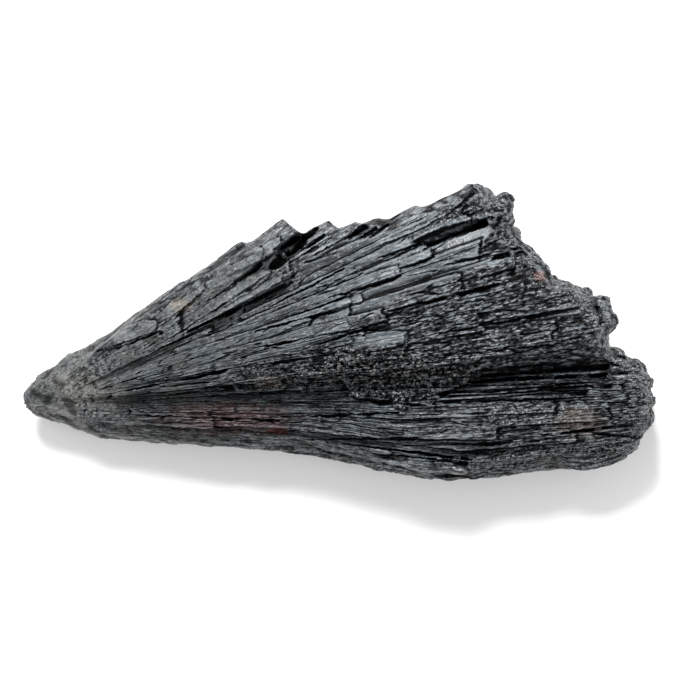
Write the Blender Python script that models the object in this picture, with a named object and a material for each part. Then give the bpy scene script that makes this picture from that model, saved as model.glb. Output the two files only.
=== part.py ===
"""A black kyanite fan: flat dark blades grown together from one root, as a single solid.

The fan lies on its back on the plane z = 0. Its root points along -X, its broken rim faces +X, and the
broad face with the best blades looks up. Constants are in millimetres and degrees; MM turns them to metres.
A place on the fan is given as a ray and a distance: rays above SPLIT run straight out from the root at that
angle from +X, and rays below it bend to follow the bottom edge, which is the ray BOTTOM_RAY.
"""
import math
import random

import bmesh
import bpy
from mathutils import Vector

MM = 0.001
SEED = 11
UP = Vector((0.0, 0.0, 1.0))

# The outline seen from above, in mm about the middle of the fan. Each edge runs away from the root.
TOP_EDGE = [(-34.5, -6.4), (-33.6, -5.0), (-30.4, -2.8), (-26.0, -0.5), (-20.5, 3.2), (-15.2, 6.8),
            (-10.8, 8.9), (-6.6, 9.9), (-1.0, 10.2), (3.5, 11.0), (7.5, 12.4), (11.0, 14.1), (14.0, 15.6),
            (16.1, 15.8)]
BOTTOM_EDGE = [(-34.5, -9.1), (-31.6, -10.3), (-28.0, -11.1), (-25.8, -11.7), (-19.5, -12.0),
               (-9.7, -12.5), (-4.3, -12.9), (1.2, -13.9), (5.0, -15.3), (8.4, -16.1), (15.4, -16.0),
               (22.9, -14.8), (28.5, -14.3), (31.6, -13.4)]
ROOT_EDGE = [(-34.5, -9.0), (-34.95, -7.7), (-34.5, -6.4)]
RIM_EDGE = [(31.6, -13.3), (33.0, -12.1), (34.0, -10.4), (34.6, -8.0), (34.1, -5.2), (32.7, -3.6),
            (30.6, -2.4), (29.3, -1.2), (29.9, 0.9), (29.3, 2.5), (28.0, 3.8), (26.0, 4.6), (24.3, 5.3),
            (22.4, 7.2), (20.8, 9.3), (19.2, 11.0), (18.8, 12.9), (17.4, 14.6), (16.1, 15.8)]

# The point that the blades fan out from, inside the blunt root, and the rays of the valley and bottom edge.
ROOT_X, ROOT_Y = -32.7, -7.9
SPLIT, BOTTOM_RAY = 2.9, -13.0

# Cells of the fan's body along a ray, across the rays and through its thickness.
BODY_CELLS = (21, 20, 3)
BODY_ROUGHNESS = 0.14

# Heights of the upper face, in mm: constant, slope and bend along the crest of each sheaf of blades.
UPPER_CREST = (6.6, 0.285, -0.0024)
LOWER_CREST = (6.3, 0.17, -0.0013)
CREST_RAY = 14.0
SHEAF_RAY, SHEAF_BLEND = 5.6, 1.5       # where the upper sheaf steps down to the lower one
SLOPE_RAY, SLOPE_BLEND = 4.6, 2.8       # the same where the step is a slope of broken grains
TOP_FALL, BOTTOM_FALL = 3.6, 3.2        # fall of the face from the crests to the two long edges
VALLEY_HALF_WIDTH, VALLEY_DEPTH = 1.3, 2.0
VALLEY_START, VALLEY_FULL = 42.0, 48.0
FLAP_RAY, FLAP_END, FLAP_LIFT = 26.3, 31.0, 1.6

# Heights of the lower face, in mm, and how blunt the sides are.
ROOT_UNDERSIDE = 2.9
UNDERSIDE = 1.1
UNDERSIDE_REACH = 20.0
EDGE_INSET = 1.7
ROOT_INSET = 1.2
SIDE_INSET_SHARE = 0.2
BEVELLED_RIM_INSET = 4.6

BLADE_DEPTH = 4.0
BLADE_CELLS, SHORT_CELLS = 3, 2
BLADE_TAPER = 0.5                       # how much narrower a blade is where it starts

# Blades that stand out of the upper face: the rays of their two ends and the distances of these from the
# root, width at the far end, lift above the body there, roll about their length, slant of the broken end.
FRONT_BLADES = [
    # the weathered flap near the root, two sheets thick, and the pointed tip behind it
    (35.6, 34.4, 5.0, 29.0, 4.4, 1.0, 14, -10), (31.0, 31.2, 7.0, 31.6, 4.2, 1.6, 4, 12),
    (27.6, 27.7, 9.0, 30.2, 2.6, 1.2, -14, 22), (34.8, 34.9, 17.0, 33.8, 2.8, 0.2, 14, -20),
    (40.0, 37.2, 4.0, 21.0, 2.6, 0.5, 18, -10), (29.0, 29.2, 3.0, 17.5, 2.4, 2.2, 0, 20),
    # slivers and teeth along the top edge
    (32.0, 32.1, 26.0, 35.8, 0.8, 0.8, 16, 10), (30.7, 30.8, 22.0, 37.6, 2.0, 0.4, 8, -18),
    (29.2, 28.8, 26.0, 40.2, 1.6, 0.8, 8, -28), (28.2, 27.7, 24.0, 42.8, 1.8, 0.7, 6, -22),
    (26.7, 26.9, 34.0, 46.6, 1.4, 0.8, 6, -20),
    # the broad smooth blades of the upper sheaf, the highest ending in steps
    (25.5, 25.2, 20.0, 53.2, 3.1, 1.0, 6, -8), (24.0, 24.3, 28.0, 50.6, 2.4, 1.5, -3, 10),
    (22.6, 23.2, 24.0, 44.2, 1.9, 1.3, 2, 6), (21.3, 21.4, 28.0, 45.6, 1.4, 1.7, -4, 8),
    (20.0, 20.6, 22.0, 41.2, 1.8, 1.5, -6, 0), (18.9, 18.7, 16.0, 50.4, 3.2, 0.7, 3, 12),
    (17.4, 17.2, 14.0, 35.2, 1.9, 1.7, -4, 10), (15.8, 15.8, 20.0, 47.6, 2.4, 1.2, 2, -10),
    (14.3, 14.4, 14.0, 38.6, 1.6, 1.8, -8, 0), (13.2, 13.0, 22.0, 53.6, 2.5, 0.8, 0, 14),
    (11.9, 12.0, 12.0, 36.4, 1.4, 1.9, 6, 0), (10.6, 10.5, 18.0, 49.0, 2.2, 1.1, -6, -12),
    (9.8, 9.3, 8.0, 40.6, 2.7, 1.6, 4, 18), (8.2, 8.1, 20.0, 56.6, 2.2, 0.7, 3, 10),
    (7.2, 7.1, 10.0, 34.2, 1.3, 1.4, -5, 0), (6.4, 6.5, 22.0, 48.0, 1.5, 0.9, -8, 0),
    (16.9, 16.8, 40.0, 54.0, 1.8, 0.6, 5, 0), (11.4, 11.2, 44.0, 59.6, 2.3, 0.7, -4, -16),
    # thin plates inside the valley
    (4.0, 4.0, 36.0, 56.0, 0.7, 0.9, 0, 0), (2.9, 3.0, 38.0, 60.0, 0.6, 0.6, 10, 0),
    (1.9, 2.0, 34.0, 54.0, 0.8, 1.0, -10, 0),
    # the lower sheaf, with the pale blade along its bottom edge
    (0.7, 0.8, 12.0, 45.0, 1.7, 0.7, 4, 10), (-0.6, -0.3, 40.0, 63.5, 2.4, 0.5, 4, -10),
    (-1.4, -1.6, 10.0, 56.0, 2.1, 0.9, -3, 8), (-3.4, -3.6, 14.0, 62.0, 2.2, 0.6, 2, -14),
    (-5.2, -5.6, 12.0, 50.0, 2.0, 1.0, -5, 0), (-7.0, -7.4, 22.0, 58.5, 2.0, 0.5, 6, 12),
    (-8.4, -8.8, 10.0, 38.0, 1.8, 0.9, -8, 14), (-10.6, -11.4, 31.0, 47.4, 1.3, 1.4, 10, -12),
    (-9.4, -9.6, 40.0, 55.0, 1.8, 0.6, -8, 0), (-10.5, -10.5, 5.0, 25.0, 2.4, 0.6, -12, 10),
    (4.8, 4.6, 6.0, 29.0, 1.7, 1.0, 0, 20), (-4.6, -5.0, 4.0, 19.0, 2.0, 1.1, 3, -10),
]

# Short blades scattered between them: how many, and the ranges of their measures.
SHORT_BLADES = 34
SHORT_RAYS = (-11.0, 30.0)
SHORT_FAR = (16.0, 56.0)
SHORT_LENGTH = (7.0, 15.0)
SHORT_WIDTH = (0.8, 1.7)
SHORT_LIFT = (0.5, 1.2)

# Blades on the underside: ray, near and far distance, width, and how far they stand out below.
BACK_BLADES = [
    (27.0, 10.0, 37.0, 3.4, 0.8), (21.0, 24.0, 52.5, 3.8, 1.5), (15.0, 8.0, 46.0, 3.8, 0.6),
    (10.0, 30.0, 58.0, 4.2, 1.4), (5.0, 6.0, 40.0, 4.0, 1.5), (0.0, 20.0, 63.0, 4.0, 0.8),
    (-5.0, 8.0, 56.0, 4.2, 1.6), (-9.0, 16.0, 44.0, 2.8, 0.7), (32.0, 14.0, 30.0, 2.6, 0.5),
    (17.5, 40.0, 55.5, 2.2, 0.5), (-2.6, 44.0, 64.6, 2.2, 1.3), (7.0, 44.0, 60.5, 2.0, 0.5),
    (-8.2, 46.0, 60.0, 2.2, 0.5), (24.6, 38.0, 54.0, 1.8, 0.7), (12.6, 12.0, 34.0, 1.6, 1.0),
    (-2.4, 10.0, 30.0, 1.8, 0.9), (18.6, 14.0, 30.0, 1.8, 1.0), (2.4, 48.0, 60.0, 1.6, 1.0),
]

# Blades along the two long sides: side, near and far distance, height as a share of the side, width and
# how far they stand out of it.
SIDE_BLADES = [
    ("bottom", 6.0, 30.0, 0.62, 2.2, 0.3), ("bottom", 18.0, 46.0, 0.34, 2.4, 0.4),
    ("bottom", 30.0, 57.0, 0.68, 2.0, 0.3), ("bottom", 40.0, 62.0, 0.2, 2.6, 0.3),
    ("bottom", 3.0, 21.0, 0.25, 2.0, 0.3), ("bottom", 46.0, 63.0, 0.48, 1.6, 0.3),
    ("top", 5.0, 24.0, 0.6, 2.2, -0.2), ("top", 10.0, 33.0, 0.3, 2.4, 0.1), ("top", 26.0, 44.0, 0.5, 2.4, 0.1),
    ("top", 34.0, 51.0, 0.22, 2.4, 0.1), ("top", 36.0, 53.0, 0.74, 1.8, 0.0),
]

# Broken blade ends that stand out of the rim, layer above layer: ray and distance in mm.
RIM_ENDS = [
    (24.6, 54.1), (23.2, 55.8), (21.4, 56.3), (19.4, 56.7), (17.4, 57.1), (15.4, 58.0), (13.4, 59.6),
    (11.6, 61.8), (9.8, 63.4), (8.1, 64.1), (6.3, 63.4), (4.5, 65.0), (2.7, 66.8), (0.6, 67.6),
    (-1.6, 67.9), (-3.9, 67.8), (-6.4, 67.5), (-8.8, 66.9), (-10.8, 65.8), (-12.2, 64.1),
]
RIM_LAYERS = (0.16, 0.46, 0.76)         # where the ends sit between the two faces
END_WIDTH, END_HEIGHT, END_LENGTH = (1.9, 3.0), (2.4, 3.8), 7.0
END_SHORTFALL = (0.15, 1.2)             # how far the ends stop short of their distances
END_STATIONS = (0.0, 0.76, 1.0)         # shares of an end's length where its outline bends
END_BLUNTING = 0.42                     # how much an end narrows where it is worn round

# Rounded knobs of the rim and of the blunt root: x, y and size in mm, share of the height.
KNOBS = [
    (15.1, 15.17, 1.4, 0.8), (17.9, 13.8, 1.6, 0.8), (18.2, 12.2, 1.4, 0.7), (21.7, 6.4, 1.6, 0.64),
    (24.6, 3.9, 1.9, 0.7), (28.3, 1.1, 2.3, 0.6), (32.2, -4.8, 2.0, 0.5), (32.7, -9.4, 2.0, 0.66),
    (31.4, -12.0, 1.9, 0.45), (-32.3, -5.9, 1.6, 0.6), (-33.0, -8.0, 1.6, 0.45), (-31.2, -9.1, 1.4, 0.45),
]

# Hollows sunk in the upper face: ray, distance, length, width and depth.
PITS = [(32.6, 32.4, 3.0, 1.3, 2.8), (22.0, 49.0, 8.0, 1.6, 3.0), (17.6, 53.0, 2.6, 1.5, 1.8),
        (-7.2, 60.5, 8.0, 0.8, 1.8), (-9.9, 40.0, 14.0, 0.6, 1.4), (2.9, 57.0, 20.0, 0.9, 1.2),
        (25.6, 24.0, 12.0, 0.8, 1.4)]

STONE_COLOUR = (0.062, 0.066, 0.070, 1.0)
STONE_ROUGHNESS = 0.5
FLOOR_BLOCK_DEPTH = 20.0


def clear_scene():
    """Empty the scene, leaving the file itself open."""
    for item in list(bpy.data.objects):
        bpy.data.objects.remove(item, do_unlink=True)


def new_collection(name):
    """A collection under the scene's own."""
    made = bpy.data.collections.new(name)
    bpy.context.scene.collection.children.link(made)
    return made


def smooth(low, high, value):
    """Rise from 0 at low to 1 at high with level ends."""
    share = min(1.0, max(0.0, (value - low) / (high - low)))
    return share * share * (3.0 - 2.0 * share)


def along_edge(points, share):
    """The point at that share of an edge's length."""
    lengths = [math.dist(a, b) for a, b in zip(points, points[1:])]
    left = share * sum(lengths)
    for (a, b), length in zip(zip(points, points[1:]), lengths):
        if left <= length:
            break
        left -= length
    part = min(1.0, left / length)
    return Vector((a[0] + (b[0] - a[0]) * part, a[1] + (b[1] - a[1]) * part))


def outline_point(along, across):
    """A point inside the outline: along from root to rim, across from the bottom edge to the top edge."""
    sides = along_edge(BOTTOM_EDGE, along) * (1 - across) + along_edge(TOP_EDGE, along) * across
    ends = along_edge(ROOT_EDGE, across) * (1 - along) + along_edge(RIM_EDGE, across) * along
    near = Vector(BOTTOM_EDGE[0]) * (1 - across) + Vector(TOP_EDGE[0]) * across
    far = Vector(BOTTOM_EDGE[-1]) * (1 - across) + Vector(TOP_EDGE[-1]) * across
    return sides + ends - near * (1 - along) - far * along


def edge_height(points, x):
    """The y of an edge where it passes x."""
    for (ax, ay), (bx, by) in zip(points, points[1:]):
        if x <= bx:
            break
    part = min(1.0, max(0.0, (x - ax) / (bx - ax)))
    return ay + (by - ay) * part


def valley_height(x):
    """The y of the valley's straight ray where it passes x."""
    return ROOT_Y + (x - ROOT_X) * math.tan(math.radians(SPLIT))


def ray_of(x, y):
    """The ray through a point, in degrees, and the point's distance from the root."""
    valley = valley_height(x)
    if y >= valley:
        return math.degrees(math.atan2(y - ROOT_Y, x - ROOT_X)), math.hypot(x - ROOT_X, y - ROOT_Y)
    share = (valley - y) / (valley - edge_height(BOTTOM_EDGE, x))
    return SPLIT + (BOTTOM_RAY - SPLIT) * share, abs(x - ROOT_X)


def on_ray(ray, distance):
    """The point on a ray, in plan."""
    if ray >= SPLIT:
        turn = math.radians(ray)
        return Vector((ROOT_X + distance * math.cos(turn), ROOT_Y + distance * math.sin(turn)))
    x = ROOT_X + distance
    share = (ray - SPLIT) / (BOTTOM_RAY - SPLIT)
    return Vector((x, valley_height(x) * (1 - share) + edge_height(BOTTOM_EDGE, x) * share))


def crest(terms, distance):
    """The height of a crest at a distance from the root."""
    constant, slope, bend = terms
    return constant + slope * distance + bend * distance * distance


def upper_face(x, y):
    """Height of the body's upper face over a point."""
    ray, distance = ray_of(x, y)
    ray = max(-40.0, min(60.0, ray))
    grown = smooth(0.0, 12.0, distance)
    upper = crest(UPPER_CREST, distance) - TOP_FALL * smooth(CREST_RAY, 32.0, ray) * grown
    lower = crest(LOWER_CREST, distance) - BOTTOM_FALL * smooth(-5.0, BOTTOM_RAY, ray) * grown
    slope = smooth(20.0, 30.0, distance) * smooth(52.0, 46.0, distance)
    step_ray = SHEAF_RAY + (SLOPE_RAY - SHEAF_RAY) * slope
    blend = SHEAF_BLEND + (SLOPE_BLEND - SHEAF_BLEND) * slope
    share = smooth(step_ray - blend, step_ray + blend, ray)
    height = lower + (upper - lower) * share
    valley = math.exp(-((ray - SPLIT) / VALLEY_HALF_WIDTH) ** 2)
    height -= VALLEY_DEPTH * valley * smooth(VALLEY_START, VALLEY_FULL, distance)
    flap = smooth(FLAP_RAY - 1.0, FLAP_RAY + 1.2, ray) * smooth(FLAP_END + 0.6, FLAP_END - 0.6, distance)
    return height + FLAP_LIFT * flap * grown


def lower_face(x, y):
    """Height of the body's lower face over a point."""
    ray, distance = ray_of(x, y)
    rise = (ROOT_UNDERSIDE - UNDERSIDE) * smooth(UNDERSIDE_REACH, 0.0, distance)
    edge = 1.6 * smooth(22.0, 34.0, ray) + 1.4 * smooth(-6.0, BOTTOM_RAY, ray)
    return UNDERSIDE + rise + edge * smooth(8.0, 20.0, distance)


def rim_inset(across):
    """How far the upper face stops short of the outline at the rim: most where the rim is bevelled."""
    bevelled = smooth(0.5, 0.62, across) * smooth(0.93, 0.84, across)
    return EDGE_INSET + (BEVELLED_RIM_INSET - EDGE_INSET) * bevelled


def make_body(collection):
    """The body: a block bent to the outline and the two faces, with blunt rounded sides."""
    shape = bmesh.new()
    bmesh.ops.create_cube(shape, size=2.0)
    for axis, cells in enumerate(BODY_CELLS):
        edges = [edge for edge in shape.edges
                 if abs(edge.verts[0].co[axis] - edge.verts[1].co[axis]) > 1.9]
        bmesh.ops.subdivide_edges(shape, edges=edges, cuts=cells - 1, use_grid_fill=True)
    rough = random.Random(SEED)
    for vert in shape.verts:
        along, across, level = ((value + 1.0) / 2.0 for value in vert.co)
        outward = (2.0 * level - 1.0) ** 2
        reach = (outline_point(1.0, across) - Vector((ROOT_X, ROOT_Y))).length
        breadth = (outline_point(along, 1.0) - outline_point(along, 0.0)).length
        near = outward * ROOT_INSET / reach
        far = outward * (rim_inset(across) if level > 0.5 else EDGE_INSET) / reach
        side = min(SIDE_INSET_SHARE, outward * EDGE_INSET / breadth)
        flat = outline_point(near + along * (1.0 - near - far), side + across * (1.0 - 2.0 * side))
        top, bottom = upper_face(*flat), lower_face(*flat)
        wobble = BODY_ROUGHNESS * min(1.0, breadth / 25.0)
        shift = Vector([rough.uniform(-wobble, wobble) for _ in range(3)])
        vert.co = Vector((flat.x, flat.y, bottom + (top - bottom) * level)) + shift
    bmesh.ops.triangulate(shape, faces=shape.faces)
    return add_mesh("fan_body", shape, collection)


def add_mesh(name, shape, collection):
    """Turn a finished shape into a helper object that Booleans read and a render leaves out."""
    bmesh.ops.recalc_face_normals(shape, faces=shape.faces)
    mesh = bpy.data.meshes.new(name)
    shape.to_mesh(mesh)
    shape.free()
    made = bpy.data.objects.new(name, mesh)
    made.hide_render = True
    made.display_type = "WIRE"
    collection.objects.link(made)
    return made


def make_blade(name, path, width, depth, out, roll, slant, rough, tools, blunting=0.0):
    """A flat blade whose outer face follows a path: narrow where it starts, broken at a slant where it ends.

    The direction out points away from the body, and the blade is sunk in it by its depth. Blunting is
    the share by which its far end is drawn in on all four sides.
    """
    shape = bmesh.new()
    bmesh.ops.create_cube(shape, size=1.0)
    lengthwise = [edge for edge in shape.edges
                  if abs(edge.verts[0].co.x - edge.verts[1].co.x) > 0.9]
    cells = len(path) - 1
    bmesh.ops.subdivide_edges(shape, edges=lengthwise, cuts=cells - 1, use_grid_fill=True)
    run = path[-1] - path[0]
    across = out.cross(run).normalized()
    turned = across * math.cos(math.radians(roll)) + out * math.sin(math.radians(roll))
    for vert in shape.verts:
        along, side, level = vert.co.x + 0.5, vert.co.y, vert.co.z - 0.5
        station = min(cells, max(0, round(along * cells)))
        middle = path[station].copy()
        half = width * (BLADE_TAPER + (1.0 - BLADE_TAPER) * along) * rough.uniform(0.88, 1.1)
        if station == cells:
            middle += run.normalized() * (side * 2.0 * math.tan(math.radians(slant)) * width / 2.0)
            middle += run.normalized() * rough.uniform(-0.3, 0.3)
            half *= 1.0 - blunting
            level += (-0.5 - level) * blunting
        chip = rough.uniform(-0.12, 0.12) if vert.co.z > 0.0 else 0.0
        vert.co = middle + turned * side * half + out * (level * depth + chip)
    bmesh.ops.triangulate(shape, faces=shape.faces)
    return add_mesh(name, shape, tools)


def front_path(near_ray, far_ray, near, far, lift, cells):
    """A path over the upper face that rises out of the body towards its far end."""
    points = []
    for station in range(cells + 1):
        share = station / cells
        flat = on_ray(near_ray + (far_ray - near_ray) * share, near + (far - near) * share)
        inner = on_ray(far_ray, far - 3.0) if station == cells else flat
        points.append(Vector((flat.x, flat.y, upper_face(*inner) + lift * (0.1 + 0.9 * share))))
    return points


def make_front_blades(tools):
    """The blades of the upper face, the large ones and then the short ones between them."""
    rough = random.Random(SEED + 1)
    for number, (near_ray, far_ray, near, far, width, lift, roll, slant) in enumerate(FRONT_BLADES):
        path = front_path(near_ray, far_ray, near, far, lift, BLADE_CELLS)
        make_blade(f"front_blade_{number:02d}", path, width, BLADE_DEPTH, UP, roll, slant, rough, tools)
    for number in range(SHORT_BLADES):
        share = (number + rough.random()) / SHORT_BLADES
        ray = SHORT_RAYS[0] + (SHORT_RAYS[1] - SHORT_RAYS[0]) * share
        far = rough.uniform(*SHORT_FAR)
        if ray > 26.0:
            far = min(far, 38.0)
        near = far - rough.uniform(*SHORT_LENGTH)
        path = front_path(ray, ray, near, far, rough.uniform(*SHORT_LIFT), SHORT_CELLS)
        make_blade(f"short_blade_{number:02d}", path, rough.uniform(*SHORT_WIDTH), BLADE_DEPTH / 2, UP,
                   rough.uniform(-14, 14), rough.uniform(-30, 30), rough, tools)


def make_back_blades(tools):
    """The blades of the underside, whose lowest faces the fan rests on."""
    rough = random.Random(SEED + 2)
    for number, (ray, near, far, width, stand) in enumerate(BACK_BLADES):
        path = []
        for station in range(BLADE_CELLS + 1):
            share = station / BLADE_CELLS
            flat = on_ray(ray, near + (far - near) * share)
            inner = on_ray(ray, min(far - 3.0, near + (far - near) * share))
            path.append(Vector((flat.x, flat.y, lower_face(*inner) - stand * (0.7 + 0.3 * share))))
        make_blade(f"back_blade_{number:02d}", path, width, BLADE_DEPTH, -UP, 0.0, rough.uniform(-15, 15),
                   rough, tools)


def make_side_blades(tools):
    """Blades along the two long sides, seen edge on from there."""
    rough = random.Random(SEED + 3)
    for number, (side, near, far, level, width, stand) in enumerate(SIDE_BLADES):
        edge = BOTTOM_EDGE if side == "bottom" else TOP_EDGE
        out = Vector((0.0, -1.0, 0.0)) if side == "bottom" else Vector((-0.42, 0.9, 0.0)).normalized()
        length = sum(math.dist(a, b) for a, b in zip(edge, edge[1:]))
        path = []
        for station in range(BLADE_CELLS + 1):
            flat = along_edge(edge, (near + (far - near) * station / BLADE_CELLS) / length)
            top, bottom = upper_face(*flat), lower_face(*flat)
            place = Vector((flat.x, flat.y, bottom + (top - bottom) * level))
            path.append(place + out * (stand if station else -0.3))
        make_blade(f"side_blade_{number:02d}", path, width, BLADE_DEPTH, out, rough.uniform(-8, 8),
                   rough.uniform(-12, 12), rough, tools)


def make_rim_ends(tools):
    """Blade ends standing out of the rim by different lengths, layer above layer."""
    rough = random.Random(SEED + 4)
    for number, (ray, distance) in enumerate(RIM_ENDS):
        for level in RIM_LAYERS:
            bevelled = 2.6 * smooth(0.4, 0.9, level) * smooth(10.0, 13.0, ray) * smooth(25.0, 22.0, ray)
            end = distance - bevelled - rough.uniform(*END_SHORTFALL)
            turned = ray + rough.uniform(-0.5, 0.5)
            inner = on_ray(turned, distance - 4.0)
            top, bottom = upper_face(*inner), lower_face(*inner)
            height = rough.uniform(*END_HEIGHT)
            middle = min(top - height * 0.45, bottom + (top - bottom) * (level + rough.uniform(-0.08, 0.08)))
            path = []
            for share in END_STATIONS:
                flat = on_ray(turned, end - END_LENGTH * (1.0 - share))
                path.append(Vector((flat.x, flat.y, middle + height / 2)))
            make_blade(f"rim_end_{number:02d}_{level:.2f}", path, rough.uniform(*END_WIDTH), height, UP,
                       rough.uniform(-8, 8), rough.uniform(-14, 14), rough, tools, END_BLUNTING)


def make_knobs(tools):
    """Blunt angular lumps around the rim and on the root."""
    rough = random.Random(SEED + 5)
    for number, (x, y, size, level) in enumerate(KNOBS):
        top, bottom = upper_face(x, y), lower_face(x, y)
        shape = bmesh.new()
        bmesh.ops.create_icosphere(shape, subdivisions=1, radius=1.0)
        for vert in shape.verts:
            vert.co *= rough.uniform(0.9, 1.15) * size
            vert.co += Vector((x, y, bottom + (top - bottom) * level))
        add_mesh(f"knob_{number:02d}", shape, tools)


def make_pits(tools):
    """Wedges that hollow out the deep gaps between blades."""
    for number, (ray, distance, length, width, depth) in enumerate(PITS):
        near, far = on_ray(ray, distance - length / 2), on_ray(ray, distance + length / 2)
        floor = min(upper_face(*near), upper_face(*far)) - depth
        shape = bmesh.new()
        bmesh.ops.create_cube(shape, size=1.0)
        run = (far - near).to_3d()
        across = Vector((-run.y, run.x, 0.0)).normalized()
        for vert in shape.verts:
            along, side, level = vert.co.x + 0.5, vert.co.y, vert.co.z + 0.5
            half = width * (0.55 + 0.45 * along) * (0.5 + 0.5 * level)
            flat = near.to_3d() + run * along + across * side * half
            vert.co = (flat.x, flat.y, floor + level * 12.0)
        add_mesh(f"pit_{number:02d}", shape, tools)


def make_floor_block(tools):
    """A block below the plane that the fan rests on, which trims the lowest blades flat."""
    shape = bmesh.new()
    bmesh.ops.create_cube(shape, size=2.0)
    for vert in shape.verts:
        vert.co = (vert.co.x * 60.0, vert.co.y * 40.0, (vert.co.z - 1.0) * FLOOR_BLOCK_DEPTH / 2.0)
    return add_mesh("floor_block", shape, tools)


def add_boolean(target, operation, collection=None, tool=None):
    """Join or cut the target with a collection of tools or with one tool."""
    step = target.modifiers.new(operation.lower(), "BOOLEAN")
    step.operation = operation
    step.solver = "EXACT"
    if collection:
        step.operand_type = "COLLECTION"
        step.collection = collection
    else:
        step.object = tool


def keep_outer_shell(shape):
    """Delete every loose piece and sealed gap but the largest shell."""
    left = set(shape.faces)
    shells = []
    while left:
        stack = [left.pop()]
        shell = list(stack)
        while stack:
            for edge in stack.pop().edges:
                for face in edge.link_faces:
                    if face in left:
                        left.remove(face)
                        stack.append(face)
                        shell.append(face)
        shells.append(shell)
    shells.sort(key=len)
    for shell in shells[:-1]:
        bmesh.ops.delete(shape, geom=shell, context="FACES")


def finish_solid(body, material):
    """Make the joined solid one mesh in metres, one shell only, centred over the origin."""
    bpy.context.view_layer.update()
    graph = bpy.context.evaluated_depsgraph_get()
    mesh = bpy.data.meshes.new_from_object(body.evaluated_get(graph))
    shape = bmesh.new()
    shape.from_mesh(mesh)
    keep_outer_shell(shape)
    low = Vector(min(vert.co[axis] for vert in shape.verts) for axis in range(3))
    high = Vector(max(vert.co[axis] for vert in shape.verts) for axis in range(3))
    middle = Vector(((low.x + high.x) / 2, (low.y + high.y) / 2, low.z))
    for vert in shape.verts:
        vert.co = (vert.co - middle) * MM
    shape.to_mesh(mesh)
    shape.free()
    print(f"fan {high - low} mm, middle {middle}, {len(mesh.polygons)} faces")
    mesh.materials.clear()
    mesh.materials.append(material)
    return bpy.data.objects.new("kyanite_fan", mesh)


def stone_material():
    """Dark grey, satin stone."""
    material = bpy.data.materials.new("black_kyanite")
    material.use_nodes = True
    shader = material.node_tree.nodes["Principled BSDF"]
    shader.inputs["Base Color"].default_value = STONE_COLOUR
    shader.inputs["Roughness"].default_value = STONE_ROUGHNESS
    shader.inputs["Metallic"].default_value = 0.0
    return material


def main():
    """Build the fan."""
    clear_scene()
    fan_parts = new_collection("black_kyanite_fan")
    joined = new_collection("blades_to_join")
    pits = new_collection("pits")
    cutters = new_collection("cutters")
    body = make_body(cutters)
    make_front_blades(joined)
    make_back_blades(joined)
    make_side_blades(joined)
    make_rim_ends(joined)
    make_knobs(joined)
    make_pits(pits)
    block = make_floor_block(cutters)
    add_boolean(body, "UNION", collection=joined)
    add_boolean(body, "DIFFERENCE", collection=pits)
    add_boolean(body, "DIFFERENCE", tool=block)
    fan_parts.objects.link(finish_solid(body, stone_material()))
    body.modifiers.clear()


main()
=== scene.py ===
"""Black kyanite fan, laid on its broad back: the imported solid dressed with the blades, grains and
colours of the real stone.

The fan grows out of a blunt root at -X. Its blades follow rays, which the class FanRays describes, and
every coat of blades, splinters or grains is laid along them over the solid's own surface.
"""
from __future__ import annotations

import logging
import math
from dataclasses import dataclass

import bmesh
import bpy
import numpy as np
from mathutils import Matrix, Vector
from mathutils.bvhtree import BVHTree
from mathutils.kdtree import KDTree

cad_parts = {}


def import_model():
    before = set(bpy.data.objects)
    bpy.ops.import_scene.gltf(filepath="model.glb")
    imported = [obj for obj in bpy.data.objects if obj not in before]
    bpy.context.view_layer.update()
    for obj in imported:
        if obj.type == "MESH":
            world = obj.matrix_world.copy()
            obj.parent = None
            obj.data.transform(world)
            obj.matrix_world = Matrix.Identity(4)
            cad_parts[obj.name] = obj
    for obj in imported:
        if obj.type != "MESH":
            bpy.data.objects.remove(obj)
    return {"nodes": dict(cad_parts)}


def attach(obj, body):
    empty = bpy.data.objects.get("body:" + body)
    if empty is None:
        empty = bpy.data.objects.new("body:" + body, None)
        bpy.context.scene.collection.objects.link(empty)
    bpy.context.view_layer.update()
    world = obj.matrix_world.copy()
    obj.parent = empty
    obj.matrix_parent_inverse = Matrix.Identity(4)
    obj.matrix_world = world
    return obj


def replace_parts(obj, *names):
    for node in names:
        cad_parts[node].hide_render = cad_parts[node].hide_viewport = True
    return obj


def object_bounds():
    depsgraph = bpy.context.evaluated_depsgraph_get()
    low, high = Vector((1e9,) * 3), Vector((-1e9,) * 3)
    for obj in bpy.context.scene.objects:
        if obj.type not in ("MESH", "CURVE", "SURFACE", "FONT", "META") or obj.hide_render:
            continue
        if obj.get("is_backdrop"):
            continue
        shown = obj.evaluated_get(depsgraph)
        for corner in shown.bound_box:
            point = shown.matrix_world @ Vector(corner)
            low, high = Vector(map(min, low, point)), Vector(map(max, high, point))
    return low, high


LOG = logging.getLogger("kyanite_fan")
NODE = "kyanite_fan"
BODY = "root"
MM = 0.001
JOIN = 1e-6
FAN_RADIUS = 42.0
SKIN_LAYERS = (1.0, 1.0, 0.4)
STAIN_LEVEL = 10.0
STAIN_DEPTH = 12.0
CHIP_MEAN = 0.36
FLOAT = "NodeSocketFloat"
VECTOR = "NodeSocketVector"

Array = np.ndarray
Pair = tuple[float, float]
Triple = tuple[float, float, float]
Node = bpy.types.Node
Socket = bpy.types.NodeSocket
Source = Socket | float | tuple[float, ...]
Tree = bpy.types.NodeTree


def ease(low: float, high: float, value: Array) -> Array:
    """Rises smoothly from 0 at low to 1 at high.

    Args:
        low: the value where the rise starts.
        high: the value where it ends; below low, the ramp falls.
        value: the values to grade.

    Returns:
        One share per value.
    """
    share = np.clip((value - low) / (high - low), 0.0, 1.0)
    return share * share * (3.0 - 2.0 * share)


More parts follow.
